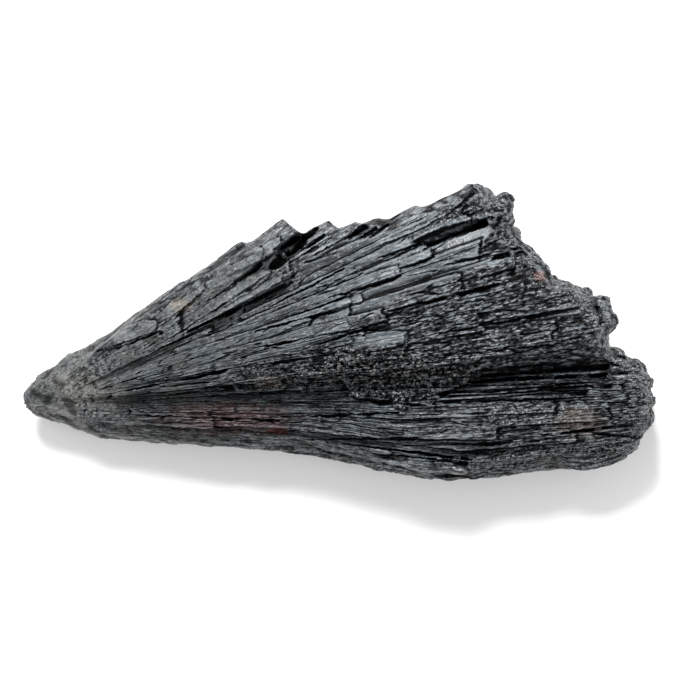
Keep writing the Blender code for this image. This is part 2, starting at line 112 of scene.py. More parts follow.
def between(start: float, full: float, last: float, end: float, value: Array) -> Array:
    """Rises from start to full, holds, and falls from last to end."""
    return ease(start, full, value) * (1.0 - ease(last, end, value))


@dataclass(frozen=True)
class FanRays:
    """The fan's directions of growth: rays out of the root, bent along the lower edge. In mm and degrees."""

    root_x: float = -32.87
    root_y: float = -7.81
    root_z: float = 4.9
    valley_ray: float = 2.9
    bottom_ray: float = -13.0
    slope_step: float = 1.5
    bottom_x: tuple[float, ...] = (-34.7, -28.2, -19.7, -9.9, -4.5, 1.0, 4.8, 8.2, 15.2, 22.7, 28.3, 35.0)
    bottom_y: tuple[float, ...] = (-9.0, -11.0, -11.9, -12.4, -12.8, -13.8,
                                   -15.2, -16.0, -15.9, -14.7, -14.2, -13.0)

    def valley_y(self, x: Array) -> Array:
        """The height in plan of the valley's straight ray."""
        return self.root_y + (x - self.root_x) * math.tan(math.radians(self.valley_ray))

    def place(self, points: Array) -> tuple[Array, Array]:
        """Finds the rays and distances of points.

        Args:
            points: an array of n rows, x, y and z in mm.

        Returns:
            The ray of each point in degrees, and its distance from the root in mm.
        """
        x, y = points[:, 0], points[:, 1]
        valley = self.valley_y(x)
        edge = np.interp(x, self.bottom_x, self.bottom_y)
        upper_ray = np.degrees(np.arctan2(y - self.root_y, x - self.root_x))
        share = (valley - y) / np.maximum(valley - edge, 0.5)
        lower_ray = self.valley_ray + (self.bottom_ray - self.valley_ray) * share
        above = y >= valley
        distance = np.hypot(x - self.root_x, y - self.root_y)
        return np.where(above, upper_ray, lower_ray), np.where(above, distance, np.abs(x - self.root_x))

    def growth(self, points: Array) -> Array:
        """Finds the direction that the blades grow in at points.

        Args:
            points: an array of n rows, x, y and z in mm.

        Returns:
            A unit vector for each point.
        """
        x, y, z = points[:, 0], points[:, 1], points[:, 2]
        ahead = np.interp(x + self.slope_step, self.bottom_x, self.bottom_y)
        behind = np.interp(x - self.slope_step, self.bottom_x, self.bottom_y)
        slope = (ahead - behind) / (2.0 * self.slope_step)
        valley = self.valley_y(x)
        edge = np.interp(x, self.bottom_x, self.bottom_y)
        share = np.clip((valley - y) / np.maximum(valley - edge, 0.5), 0.0, 1.2)
        bent = math.tan(math.radians(self.valley_ray)) * (1.0 - share) + slope * share
        far_x = np.maximum(x - self.root_x, 2.0)
        straight = (y - self.root_y) / far_x
        rise = np.where(y >= valley, straight, bent)
        climb = 0.5 * (z - self.root_z) / np.maximum(far_x, 6.0)
        found = np.stack([np.ones_like(x), np.clip(rise, -1.2, 1.2), np.clip(climb, -0.3, 0.3)], axis=1)
        return found / np.linalg.norm(found, axis=1, keepdims=True)


RAYS = FanRays()


class Grain:
    """Smooth seeded noise for many points at once."""

    size = 4096

    def __init__(self, seed: int) -> None:
        """Draws the tables that the noise is looked up in.

        Args:
            seed: the number that the draws start from.
        """
        draw = np.random.default_rng(seed)
        self.order = draw.permutation(self.size)
        angles = draw.uniform(0.0, 2.0 * math.pi, self.size)
        self.slopes = np.stack([np.cos(angles), np.sin(angles)], axis=1)
        self.levels = draw.uniform(-1.0, 1.0, self.size)

    def pick(self, *cells: Array) -> Array:
        """A table index for each cell of a grid."""
        found = np.zeros_like(cells[0])
        for cell in cells:
            found = self.order[(cell + found) % self.size]
        return found

    def level(self, cell: Array) -> Array:
        """A fixed random number between -1 and 1 for each whole cell number."""
        return self.levels[self.pick(cell.astype(np.int64))]

    def flat(self, u: Array, v: Array) -> Array:
        """Noise between about -1 and 1 over a plane.

        Args:
            u: the first coordinate of each point, in cells of the noise.
            v: the second one.

        Returns:
            One value per point.
        """
        iu, iv = np.floor(u).astype(np.int64), np.floor(v).astype(np.int64)
        fu, fv = u - iu, v - iv
        total = np.zeros_like(u)
        for du in (0, 1):
            for dv in (0, 1):
                slope = self.slopes[self.pick(iu + du, iv + dv)]
                weight = self.fade(1.0 - np.abs(fu - du)) * self.fade(1.0 - np.abs(fv - dv))
                total += weight * (slope[..., 0] * (fu - du) + slope[..., 1] * (fv - dv))
        return total * 1.6

    @staticmethod
    def fade(share: Array) -> Array:
        """Eases a share between 0 and 1."""
        return share * share * share * (share * (share * 6.0 - 15.0) + 10.0)

    def rough(self, u: Array, v: Array, octaves: int = 4, gain: float = 0.5) -> Array:
        """Noise with finer and finer detail added.

        Args:
            u: the first coordinate of each point, in cells of the noise.
            v: the second one.
            octaves: how many layers of detail there are.
            gain: how strong each layer is beside the last.

        Returns:
            One value per point.
        """
        total, weight = np.zeros_like(u), 1.0
        for octave in range(octaves):
            total += weight * self.flat(u * 2.0 ** octave + 17.3 * octave, v * 2.0 ** octave - 9.1 * octave)
            weight *= gain
        return total

    def solid(self, points: Array) -> Array:
        """Noise in space, from three planes of it."""
        x, y, z = points[:, 0], points[:, 1], points[:, 2]
        return (self.flat(x + 0.7 * z, y - 0.4 * z) + self.flat(y + 31.7 + 0.5 * x, z + 5.3)
                + self.flat(z - 11.9, x + 7.7 + 0.3 * y)) * 0.62


@dataclass
class Relief:
    """The stone's own relief along the rays: sheets that overlap, fibres, gaps and grains. In mm."""

    seed: int = 5
    tables: int = 12

    def __post_init__(self) -> None:
        """Makes the noise tables."""
        self.noise = [Grain(self.seed + number) for number in range(self.tables)]

    def uneven(self, ray: Array, distance: Array) -> Array:
        """How far the single gaps are open at points on rays, between about 0.3 and 1.3.

        Args:
            ray: the rays of the points, in degrees.
            distance: their distances from the root.

        Returns:
            One share per point.
        """
        near_root = 1.0 - ease(20.0, 34.0, distance)
        level = self.noise[3].rough(ray * 0.35, distance / 3.2, 2)
        return np.clip(0.85 - 0.2 * near_root + (0.7 + 0.5 * near_root) * level, 0.25, 1.3)

    def fibres(self, ray: Array, distance: Array, width: float, length: float, table: int,
               skew: float = 0.0) -> Array:
        """Long grains that follow the rays and split in two as these part, so that they keep their width.

        Args:
            ray: the rays of the points, in degrees.
            distance: their distances from the root.
            width: how wide a grain is.
            length: how long it is.
            table: which noise table it uses.
            skew: how far a grain wanders across the rays, in mm.

        Returns:
            A level between about -1 and 1 for each point.
        """
        angle = np.radians(ray)
        wander = self.noise[table].flat(distance / 9.0, angle * 9.0 + 40.0) * skew / np.maximum(distance, 4.0)
        ideal = np.log2(np.maximum(distance, 3.0) / (width * 2.0))
        whole = np.floor(ideal)
        share = ease(0.25, 0.75, ideal - whole)
        total = np.zeros_like(angle)
        for extra, weight in ((0.0, 1.0 - share), (1.0, share)):
            total += weight * self.noise[table].flat((angle + wander) * 2.0 ** (whole + extra) + 100.0,
                                                     distance / length + 53.0 * extra + 7.0 * whole)
        return total

    def broken_blades(self, ray: Array, distance: Array, cells: float, length: float, table: int,
                      ragged: float = 0.25, scarce: Array | float = -0.5) -> tuple[Array, Array]:
        """Blades that rise out of the stone on their way outwards and break off.

        They stand highest along their lower edge.

        Args:
            ray: the rays of the points, in degrees.
            distance: their distances from the root.
            cells: blades in each degree.
            length: how long a blade is.
            table: which noise table it uses.
            ragged: how ragged the broken ends are, in mm.
            scarce: the random level, -1 to 1, below which a blade is missing.

        Returns:
            The share of the blade's height at each point, and the blade's own level between -1 and 1.
        """
        grain = self.noise[table]
        shift = 0.25 * grain.flat(ray * 0.9, distance / 7.0)
        place = ray * cells + shift + 0.06 * grain.rough(ray * 5.0, distance / 1.2, 2)
        cell = np.floor(place)
        share = place - cell
        torn = ragged * grain.rough(ray * 7.0 + 3.0, distance / 1.4, 2)
        span = length * (0.8 + 0.4 * grain.level(cell * 7.0 + 3.0))
        turns = (distance + torn) / span + 2.0 * grain.level(cell * 3.0 + 1.0)
        tooth = np.floor(turns)
        level = grain.level(cell * 131.0 + tooth * 17.0)
        strength = np.clip((level - scarce) / 0.8, 0.0, 1.0)
        height = strength * (turns - tooth) ** 0.8 * (1.0 - share) ** 1.2
        return height, grain.level(cell * 57.0 + tooth * 29.0 + 11.0)


@dataclass(frozen=True)
class Band:
    """A band of one kind of surface round the line between two points. In mm."""

    start: Pair
    end: Pair
    half: float
    soft: float
    strength: float = 1.0

    def share(self, x: Array, y: Array) -> Array:
        """How far the band holds at points of the plan.

        Args:
            x: the x of each point, in mm.
            y: the y of each point.

        Returns:
            One share per point.
        """
        (ax, ay), (bx, by) = self.start, self.end
        run = (bx - ax) ** 2 + (by - ay) ** 2
        along = np.clip(((x - ax) * (bx - ax) + (y - ay) * (by - ay)) / run, 0.0, 1.0)
        away = np.hypot(x - ax - along * (bx - ax), y - ay - along * (by - ay))
        return self.strength * (1.0 - ease(self.half - self.soft, self.half + self.soft, away))


CRUST_BANDS = (
    Band((-0.5, -3.2), (13.2, -4.9), 1.4, 0.8),
    Band((1.5, -5.8), (8.4, -6.4), 1.1, 0.5),
    Band((-9.5, -5.0), (-1.0, -4.2), 0.9, 0.6, 0.7),
    Band((17.5, -8.4), (26.0, -9.4), 1.5, 0.9, 0.35),
)
VALLEY_BANDS = (
    Band((15.2, -5.4), (28.0, -4.4), 1.3, 0.4),
    Band((11.6, -7.0), (26.0, -6.5), 0.8, 0.4),
)
SMOOTH_BANDS = (
    Band((-0.5, -1.6), (6.6, -0.3), 0.75, 0.25),
    Band((2.4, 3.9), (9.4, 5.7), 1.1, 0.25),
    Band((23.0, 2.0), (25.6, 2.5), 0.7, 0.25),
    Band((11.0, 7.6), (17.0, 9.6), 0.8, 0.25),
    Band((1.8, -13.7), (13.6, -15.1), 0.65, 0.25),
)
RIM_GRAINS = Band((12.0, 13.6), (17.5, 14.6), 1.3, 0.8, 0.7)


def widest(bands: tuple[Band, ...], x: Array, y: Array) -> Array:
    """How far the strongest of some bands holds at points of the plan."""
    return np.max([band.share(x, y) for band in bands], axis=0)


@dataclass(frozen=True)
class Spots:
    """Points of a skin: their place in plan, their ray and distance from the root, and how far inside the
    outline they lie. In mm and degrees."""

    x: Array
    y: Array
    ray: Array
    distance: Array
    depth: Array


class Kinds:
    """How far each kind of surface holds at the spots of a skin, as shares between 0 and 1.

    They are the waxy flap, the blunt root, the crust of sparkling grains where the middle layer breaks off,
    the deep valley between the sheaves, the rough middle and outer part of the upper sheaf, the lower sheaf
    with its thin level blades and coarse end, and the knobbly rim.
    """

    def __init__(self, spots: Spots, noise: list[Grain], upper: bool) -> None:
        """Finds the shares.

        Args:
            spots: the points.
            noise: the stone's noise tables.
            upper: whether they lie on the face, which alone has a crust and a valley.
        """
        x, y, ray, distance = spots.x, spots.y, spots.ray, spots.distance
        none = np.zeros_like(x)
        smooth = widest(SMOOTH_BANDS, x, y)
        drift_x = 1.6 * noise[5].rough(x / 1.8, y / 1.8, 3)
        drift_y = 1.1 * noise[6].rough(x / 1.8 + 30.0, y / 1.8, 3)
        self.far = ease(4.0, 14.0, distance)
        self.flap = between(20.0, 25.5, 70.0, 90.0, ray) * between(3.0, 6.0, 31.4, 32.4, distance)
        self.root = 1.0 - ease(5.0, 11.0, distance)
        self.crust = widest(CRUST_BANDS, x + drift_x, y + drift_y) if upper else none
        self.valley = widest(VALLEY_BANDS, x, y) if upper else none
        self.rim = ease(4.0, 1.6, spots.depth) * (1.0 - ease(25.5, 26.5, ray)) * ease(44.0, 50.0, distance)
        self.rough = np.maximum(self.middle(ray, distance), RIM_GRAINS.share(x, y)) * (1.0 - smooth)
        self.lower = (1.0 - ease(1.5, 4.0, ray)) * (1.0 - self.crust) * (1.0 - 0.85 * smooth)
        self.coarse_end = self.lower * ease(44.0, 52.0, distance)
        self.drawn = 0.35 + 0.65 * ease(20.0, 36.0, distance)
        self.calm = np.clip(1.0 - self.rough - self.lower - self.rim, 0.0, 1.0) * ease(13.0, 16.0, ray)
        bare = ease(-0.25, 0.35, noise[10].flat(x / 5.5 + 3.0, y / 3.5 + 8.0))
        self.sparse = 0.95 * self.calm * (0.6 + 0.4 * bare)
        self.quiet = 1.0 - 0.85 * self.flap

    @staticmethod
    def middle(ray: Array, distance: Array) -> Array:
        """The short, rough grains of the middle and of the outer part of the upper sheaf.

        Args:
            ray: the rays of the points, in degrees.
            distance: their distances from the root.

        Returns:
            One share per point.
        """
        edge = 15.0 + 0.16 * (distance - 40.0)
        inner = 14.0 + 22.0 * ease(6.0, 17.0, ray)
        across = (1.0 - ease(edge - 2.0, edge + 2.0, ray)) * ease(3.0, 4.2, ray)
        return across * ease(inner, inner + 10.0, distance)


class Growth:
    """The blades, fibres and grains that cover the spots of a skin."""

    def __init__(self, relief: Relief, spots: Spots, kinds: Kinds) -> None:
        """Grows each of them over the spots.

        Args:
            relief: the stone's relief.
            spots: the points.
            kinds: the kinds of surface there.
        """
        x, y, ray, distance = spots.x, spots.y, spots.ray, spots.distance
        noise, fibres, blades = relief.noise, relief.fibres, relief.broken_blades
        bend = np.degrees(0.34 * noise[4].rough(ray * 0.5 + 7.0, distance / 2.6, 2))
        flow = ray + kinds.rough * bend / np.maximum(distance, 6.0)
        self.kinds = kinds
        self.broad, self.broad_level = blades(ray, distance, 0.36, 17.0, 0, 0.5)
        self.middle, self.middle_level = blades(ray, distance, 0.95, 9.0, 1, 0.35, -0.5 + 1.1 * kinds.sparse)
        self.narrow, self.narrow_level = blades(ray, distance, 2.3, 4.5, 2, 0.2, -0.5 + 1.2 * kinds.sparse)
        self.splinters, self.splinter_level = blades(ray, distance, 4.6, 2.0, 3, 0.12)
        self.stubs, self.stub_level = blades(flow, distance, 1.5, 2.6, 7, 0.25, -0.3)
        self.chips, self.chip_level = blades(flow, distance, 3.2, 1.3, 9, 0.12, -0.4)
        self.plates, self.plate_level = blades(ray, distance, 2.6, 9.0, 10, 0.15, -0.8)
        self.fine = fibres(ray, distance, 0.16, 3.0, 4)
        self.medium = fibres(ray, distance, 0.35, 6.0, 5, skew=0.6)
        self.short = fibres(flow, distance, 0.26, 1.5, 6, skew=0.5)
        self.shorter = fibres(flow, distance, 0.15, 0.6, 7, skew=0.4)
        self.thin = fibres(ray, distance, 0.18, 5.0, 9)
        self.slivers = fibres(ray, distance, 0.22, 14.0, 11)
        self.grains = noise[10].rough(x * 2.0, y * 2.0, 3)
        self.fine_grains = noise[11].rough(x * 4.4, y * 4.4, 2)
        self.coarse_grains = noise[7].rough(x * 1.1 + 2.0, y * 1.1, 2)
        self.lumps = noise[8].rough(x / 3.2 + 5.0, y / 3.2, 3)
        split = 1.0 - ease(0.0, 0.07, np.abs(fibres(ray, distance, 0.8, 9.0, 8, skew=1.0)))
        split *= ease(0.1, 0.4, noise[7].flat(ray * 0.9, distance / 6.0))
        self.cracks = split * (1.0 - 0.8 * kinds.flap) * kinds.far * (1.0 - kinds.root)

    def push(self) -> Array:
        """How far the growth raises each spot, in mm."""
        kinds = self.kinds
        blades = (0.50 * self.broad * (1.0 - 0.5 * kinds.rough - 0.3 * kinds.lower)
                  + 0.28 * self.middle * (1.0 - 0.3 * kinds.rough)
                  + 0.16 * self.narrow * (1.0 + 0.4 * kinds.rough)
                  + 0.12 * self.splinters * (1.0 + 0.6 * kinds.rough - 0.9 * kinds.sparse))
        push = blades * kinds.quiet * kinds.far * (1.0 - 0.8 * kinds.valley)
        push += (0.022 * self.fine + 0.045 * self.medium) * kinds.quiet * (1.0 - 0.6 * kinds.sparse)
        push += kinds.rough * (0.17 * self.short + 0.14 * self.shorter + 0.34 * self.stubs
                               + 0.22 * self.chips - 0.12)
        push += kinds.lower * kinds.drawn * (0.10 * self.thin + 0.20 * self.plates)
        push += kinds.coarse_end * (0.14 * self.short + 0.12 * self.shorter) + 0.02 * self.shorter
        push += kinds.valley * (1.4 * ease(0.12, 0.42, self.slivers) - 0.8)
        push += kinds.crust * (0.9 + 0.44 * self.coarse_grains + 0.26 * self.grains + 0.18 * self.fine_grains)
        push += kinds.root * (0.09 * self.grains + 0.05 * self.fine_grains + 0.14 * self.shorter
                              + 0.12 * self.short)
        push += kinds.rim * (0.16 * self.grains + 0.14 * self.fine_grains) + 0.02 * self.fine_grains
        push += 0.36 * self.lumps * np.clip(kinds.flap + kinds.root + kinds.rim, 0.0, 1.0)
        push += kinds.flap * (0.07 * self.grains + 0.05 * self.fine_grains)
        return push - 0.5 * self.cracks

    def gaps(self) -> Array:
        """How much painted shade each spot gets in its cracks, gaps and low spots, from 0 to 2."""
        kinds = self.kinds
        gaps = self.cracks + kinds.rough * ease(0.06, 0.36, -self.short)
        gaps += 0.8 * kinds.crust * ease(0.0, 0.3, -self.fine_grains)
        gaps += 0.9 * kinds.coarse_end * ease(0.06, 0.34, -self.short)
        gaps += 0.85 * kinds.lower * kinds.drawn * ease(0.06, 0.32, -self.thin)
        # The valley between the sheaves gets painted shade between its slivers.
        gaps += 1.6 * kinds.valley * ease(0.3, 0.1, self.slivers)
        return np.clip(gaps, 0.0, 2.0)

    def tone_and_highlight(self, crest: Array) -> Array:
        """How light each spot is: about 0.5 and the stone's own tone, and a painted highlight on a single
        blade's crest and on the valley's raised slivers.

        Args:
            crest: the share of a single raised blade.

        Returns:
            One value per spot.
        """
        kinds = self.kinds
        tone_and_highlight = 0.5 + 0.10 * self.medium + 0.06 * self.fine + 0.10 * self.broad_level
        tone_and_highlight += 0.09 * self.middle_level * (1.0 - 0.4 * kinds.calm)
        tone_and_highlight += 0.07 * self.narrow_level * (1.0 - 0.7 * kinds.calm)
        tone_and_highlight += kinds.rough * (0.16 * self.short + 0.08 * self.shorter + 0.14 * self.stub_level
                               + 0.12 * self.chip_level + 0.12 * self.splinter_level + 0.12)
        tone_and_highlight += kinds.lower * (0.12 * self.plate_level + 0.02) + 0.34 * kinds.crust + 0.02 * kinds.coarse_end
        # Painted highlight on the raised blade's crest and on the valley's slivers.
        return tone_and_highlight + 0.2 * crest + kinds.valley * (0.3 * ease(0.2, 0.45, self.slivers) + 0.35 * crest)

    def marks(self, crest: Array, ray: Array) -> dict[str, Array]:
        """The values that the finish reads at each spot.

        Args:
            crest: the share of a single raised blade.
            ray: the rays of the spots, in degrees.

        Returns:
            The values by their names.
        """
        kinds = self.kinds
        foot = 1.0 - ease(6.0, 14.0, ray)
        return {"tone_and_highlight": self.tone_and_highlight(crest),
                "rough": np.clip(kinds.rough + 0.2 * kinds.lower + 0.6 * kinds.coarse_end, 0, 1),
                "crust": np.clip(kinds.crust + 0.45 * kinds.rim + 0.2 * kinds.root, 0, 1),
                "weathered": np.clip(kinds.flap + 0.2 * kinds.root, 0, 1),
                "held_up": crest,
                # shade: painted shade over the rough zones, the lower sheaf, the low rays and the valley, in
                # place of their shadowed gaps.
                "shade": np.clip(0.5 * kinds.rough + 0.6 * kinds.lower + 0.5 * foot + kinds.valley, 0, 1)}


@dataclass(frozen=True)
class Slot:
    """A gap along the lower edge of a blade, wider and deeper towards its end, painted black as shade. In mm.
    """

    start: Pair
    end: Pair
    width: float = 0.4
    depth: float = 0.9
    lip: float = 0.15

    def push(self, along: Array, aside: Array) -> Array:
        """The change of height at points along and aside of the gap.

        Args:
            along: how far along it each point lies, 0 to 1.
            aside: how far to its left, in mm.

        Returns:
            One change per point, in mm.
        """
        inside = ease(0.0, 0.04, along) * (1.0 - ease(0.97, 1.0, along))
        width = self.width * (0.35 + 0.65 * ease(0.0, 0.6, along))
        gap = ease(-width, -0.45 * width, aside) * (1.0 - ease(-0.02, 0.06, aside))
        lip = ease(-0.02, 0.06, aside) * np.exp(-np.maximum(aside, 0.0) / 0.9)
        return inside * (lip * self.lip * along - gap * self.depth * (0.5 + 0.5 * along))


@dataclass(frozen=True)
class Strip:
    """A blade that stands up from its neighbours, in mm.

    It ends bluntly, or rounded over a share of its length. A domed one is a lobe, round across.
    """

    start: Pair
    end: Pair
    width: float = 0.6
    height: float = 0.4
    rounded: float = 0.02
    domed: bool = False

    def push(self, along: Array, aside: Array) -> Array:
        """The change of height at points along and aside of the blade.

        Args:
            along: how far along it each point lies, 0 to 1.
            aside: how far to its left, in mm.

        Returns:
            One change per point, in mm.
        """
        half = self.width * 0.5 * (0.5 + 0.5 * ease(0.0, 0.5, along))
        beyond = np.clip((along - 1.0) / self.rounded + 1.0, 0.0, 1.0)
        half = half * np.sqrt(1.0 - beyond ** 2) - 0.08 * (beyond >= 1.0)
        across = 1.0 - ease(half - 0.08, half + 0.08, np.abs(aside))
        tilt = 1.0 - 0.35 * np.clip(aside / self.width + 0.5, 0.0, 1.0)
        if self.domed:
            across = np.sqrt(np.clip(1.0 - (aside / np.maximum(half, 0.05)) ** 2, 0.0, 1.0))
        return ease(0.0, 0.55, along) * (1.0 - ease(0.99, 1.01, along)) * across * tilt * self.height


@dataclass(frozen=True)
class Pit:
    """A ragged hole, painted black as shade. In mm."""

    start: Pair
    end: Pair
    width: float = 1.0
    depth: float = 1.2

    def push(self, along: Array, aside: Array) -> Array:
        """The change of height at points along and aside of the hole's long axis.

        Args:
            along: how far along it each point lies, 0 to 1.
            aside: how far to its left, in mm.

        Returns:
            One change per point, in mm.
        """
        beyond = np.abs(along - 0.5) * 2.0
        away = np.hypot(beyond, aside / (self.width * 0.5))
        return -self.depth * (1.0 - ease(0.72, 1.0, away))


TIP = (-6.0, 12.0)
MARKS = (
    Slot((-15.3, 0.7), (-5.0, 6.2), 0.5, 1.0),
    Slot((-27.6, -2.4), (-19.4, 0.2), 0.45, 0.8),
    Slot((-19.5, -1.2), (-9.6, 4.9), 0.35, 0.7),
    Slot((-16.5, 0.6), (-7.6, 6.4), 0.3, 0.6),
    Slot((-26.6, -6.4), (-12.0, -1.6), 0.35, 0.7),
    Slot((-26.0, -6.9), (-9.0, -3.4), 0.35, 0.8),
    Slot((-24.0, -9.0), (-6.0, -9.6), 0.3, 0.6),
    Slot((-22.0, -10.2), (-11.0, -11.0), 0.3, 0.6),
    Slot((-5.4, 7.6), (-0.9, 10.4), 0.4, 0.9),
    Slot((-5.4, 8.1), (-1.7, 10.7), 0.3, 0.7),
    Slot((-3.0, 8.3), (3.0, 11.6), 0.35, 0.8),
    Slot((0.5, 10.0), (2.6, 11.8), 0.5, 0.9),
    Slot((1.7, 10.0), (3.9, 11.4), 0.4, 0.8),
    Slot((3.0, 10.2), (5.2, 11.8), 0.4, 0.8),
    Slot((4.9, 2.2), (16.3, 4.9), 0.5, 1.1),
    Slot((7.0, 2.8), (17.3, 5.3), 0.5, 1.1),
    Slot((10.4, 11.6), (14.9, 15.6), 0.35, 0.7),
    Slot((-8.0, 2.6), (0.5, 7.0), 0.4, 0.9),
    Slot((-1.5, 3.6), (6.6, 6.2), 0.5, 1.0),
    Slot((-9.5, 0.0), (2.6, 3.3), 0.45, 1.0),
    Slot((-13.0, -2.4), (1.0, 0.2), 0.4, 1.0),
    Slot((-16.0, -4.6), (-1.0, -2.4), 0.35, 0.9),
    Slot((-4.4, -2.0), (4.9, 1.3), 0.35, 0.9),
    Slot((9.8, -0.3), (19.6, 1.5), 0.4, 0.9),
    Slot((11.0, -2.6), (24.0, -1.2), 0.35, 0.8),
    Slot((4.0, 8.0), (8.2, 9.4), 0.45, 1.0),
    Slot((6.4, 6.8), (10.2, 8.2), 0.5, 1.1),
    Slot((9.0, 6.6), (22.0, 10.0), 0.3, 0.6),
    Slot((12.0, 7.6), (24.0, 9.3), 0.3, 0.6),
    Slot((25.3, 3.3), (28.1, 2.6), 0.6, 1.0),
    Slot((23.3, -10.4), (33.2, -11.5), 0.4, 0.9),
    Slot((30.2, -2.5), (33.2, -3.4), 0.45, 1.0),
    Slot((-2.8, -12.7), (14.1, -14.2), 0.6, 1.0),
    Slot((8.8, -7.2), (13.9, -5.7), 0.5, 1.2),
    Slot((-0.5, -7.0), (9.5, -7.9), 0.6, 1.1),
    Slot((-7.7, -11.8), (8.7, -11.4), 0.35, 0.8),
    Slot((-9.9, -9.4), (6.5, -8.7), 0.35, 0.8),
    Slot((6.5, -12.4), (21.8, -11.8), 0.35, 0.8),
    Slot((3.2, -15.4), (17.4, -15.8), 0.4, 0.8),
    Slot((12.5, -4.9), (29.4, -3.5), 0.6, 1.4),
    Slot((11.5, -6.6), (29.6, -5.7), 0.55, 1.5),
    Slot((13.5, -7.6), (27.6, -7.0), 0.4, 1.2),
    Strip((6.5, 7.2), (9.9, 8.6), 0.9, 0.45),
    Strip((-0.1, 4.7), (6.4, 6.7), 1.1, 0.4),
    Strip((4.3, 8.5), (7.9, 9.8), 0.8, 0.4),
    Strip((-2.2, 1.9), (2.3, 3.7), 0.9, 0.4),
    Strip((-4.4, -1.3), (1.0, 0.6), 0.9, 0.4),
    Strip((-1.6, -1.9), (7.3, -0.5), 1.9, 0.45, 0.3),
    Strip((-13.0, 6.3), (-5.2, 11.4), 2.4, 1.5, 0.12),
    Strip((1.0, -13.7), (13.9, -15.15), 1.5, 1.2, 0.3),
    Strip((9.2, 10.0), (14.1, 11.7), 0.26, 1.1),
    Strip((13.0, -5.75), (24.6, -5.35), 0.46, 1.5, 0.1),
    Strip((16.0, -4.9), (28.6, -4.4), 0.36, 1.4, 0.1),
    Strip((10.2, -6.5), (21.5, -6.2), 0.42, 1.1, 0.1),
    Strip((12.0, -7.3), (25.6, -6.9), 0.34, 0.8, 0.1),
    Strip((-27.6, -2.0), (-20.0, 0.9), 1.8, 0.9, 0.25),
    Strip((-22.0, -0.6), (-15.0, 5.2), 1.3, 0.5),
    Strip((-17.4, 2.6), (-8.4, 9.0), 2.7, 0.9, 0.3, True),
    Strip((-16.6, 1.1), (-7.6, 6.6), 1.5, 0.7, 0.25, True),
    Strip((-16.6, 0.2), (-5.2, 6.2), 1.4, 0.6, 0.2, True),
    Slot((-13.0, 4.3), (-8.6, 7.7), 0.55, 0.9),
    Slot((-13.6, 1.3), (-4.9, 5.6), 0.55, 1.3),
    Pit((-7.9, 6.9), (-5.7, 8.0), 1.2, 1.0),
    Pit((-7.2, 8.0), (-3.5, 10.4), 1.7, 1.6),
    Pit((-4.6, 9.8), (-2.4, 11.6), 1.1, 1.3),
    Pit((7.4, 9.4), (16.4, 12.2), 1.5, 1.3),
    Pit((17.6, 8.3), (21.6, 9.2), 1.3, 1.1),
)


def marked(x: Array, y: Array, jagged: Array, uneven: Array) -> tuple[Array, Array, Array]:
    """The change of height that the single slots, blades and holes make.

    Args:
        x: the x of each point, in mm.
        y: the y of each point.
        jagged: a small shift across the marks at each point, which makes their edges ragged.
        uneven: how wide and deep a gap is there, as a share of its full size.

    Returns:
        The change of height in mm, the share of a raised blade, which gets a painted highlight, and the share
        of a hole, which gets painted shade.
    """
    total, crest, hole = np.zeros_like(x), np.zeros_like(x), np.zeros_like(x)
    for mark in MARKS:
        (ax, ay), (bx, by) = mark.start, mark.end
        length = math.hypot(bx - ax, by - ay)
        ux, uy = (bx - ax) / length, (by - ay) / length
        along = ((x - ax) * ux + (y - ay) * uy) / length
        aside = -(x - ax) * uy + (y - ay) * ux + jagged
        near = (along > -0.1) & (along < 1.15) & (np.abs(aside) < 3.0)
        share = uneven[near] if isinstance(mark, Slot) else np.ones(int(near.sum()))
        push = share * mark.push(along[near] + 0.6 * jagged[near] / length, aside[near] / share)
        total[near] += push
        if isinstance(mark, Strip):
            crest[near] = np.maximum(crest[near], ease(0.3, 0.8, push / mark.height))
        else:
            hole[near] = np.maximum(hole[near], ease(0.15, 0.6, -push / mark.depth))
    return total, crest, hole


@dataclass
class Solid:
    """A closed form, for finding its surface along upright lines."""

    mesh: bpy.types.Mesh
    above: float = 40.0
    below: float = -20.0

    def __post_init__(self) -> None:
        """Joins the form's loose triangles and sorts them for quick finding."""
        shape = bmesh.new()
        shape.from_mesh(self.mesh)
        bmesh.ops.remove_doubles(shape, verts=shape.verts, dist=JOIN)
        bmesh.ops.scale(shape, vec=Vector((1.0 / MM,) * 3), verts=shape.verts)
        self.tree = BVHTree.FromBMesh(shape)
        shape.free()

    def heights(self, x: Array, y: Array, from_above: bool = True) -> Array:
        """The surface over or under points of the plan, or nan where there is none.

        Args:
            x: the x of each point, in mm.
            y: the y of each point.
            from_above: whether the lines come from above and not from below.

        Returns:
            The z of each point's surface, in mm.
        """
        start = self.above if from_above else self.below
        way = Vector((0.0, 0.0, -1.0 if from_above else 1.0))
        found = np.full(len(x), np.nan)
        cast = self.tree.ray_cast
        for number, (px, py) in enumerate(zip(x.tolist(), y.tolist())):
            hit = cast(Vector((px, py, start)), way)[0]
            if hit is not None:
                found[number] = hit.z
        return found


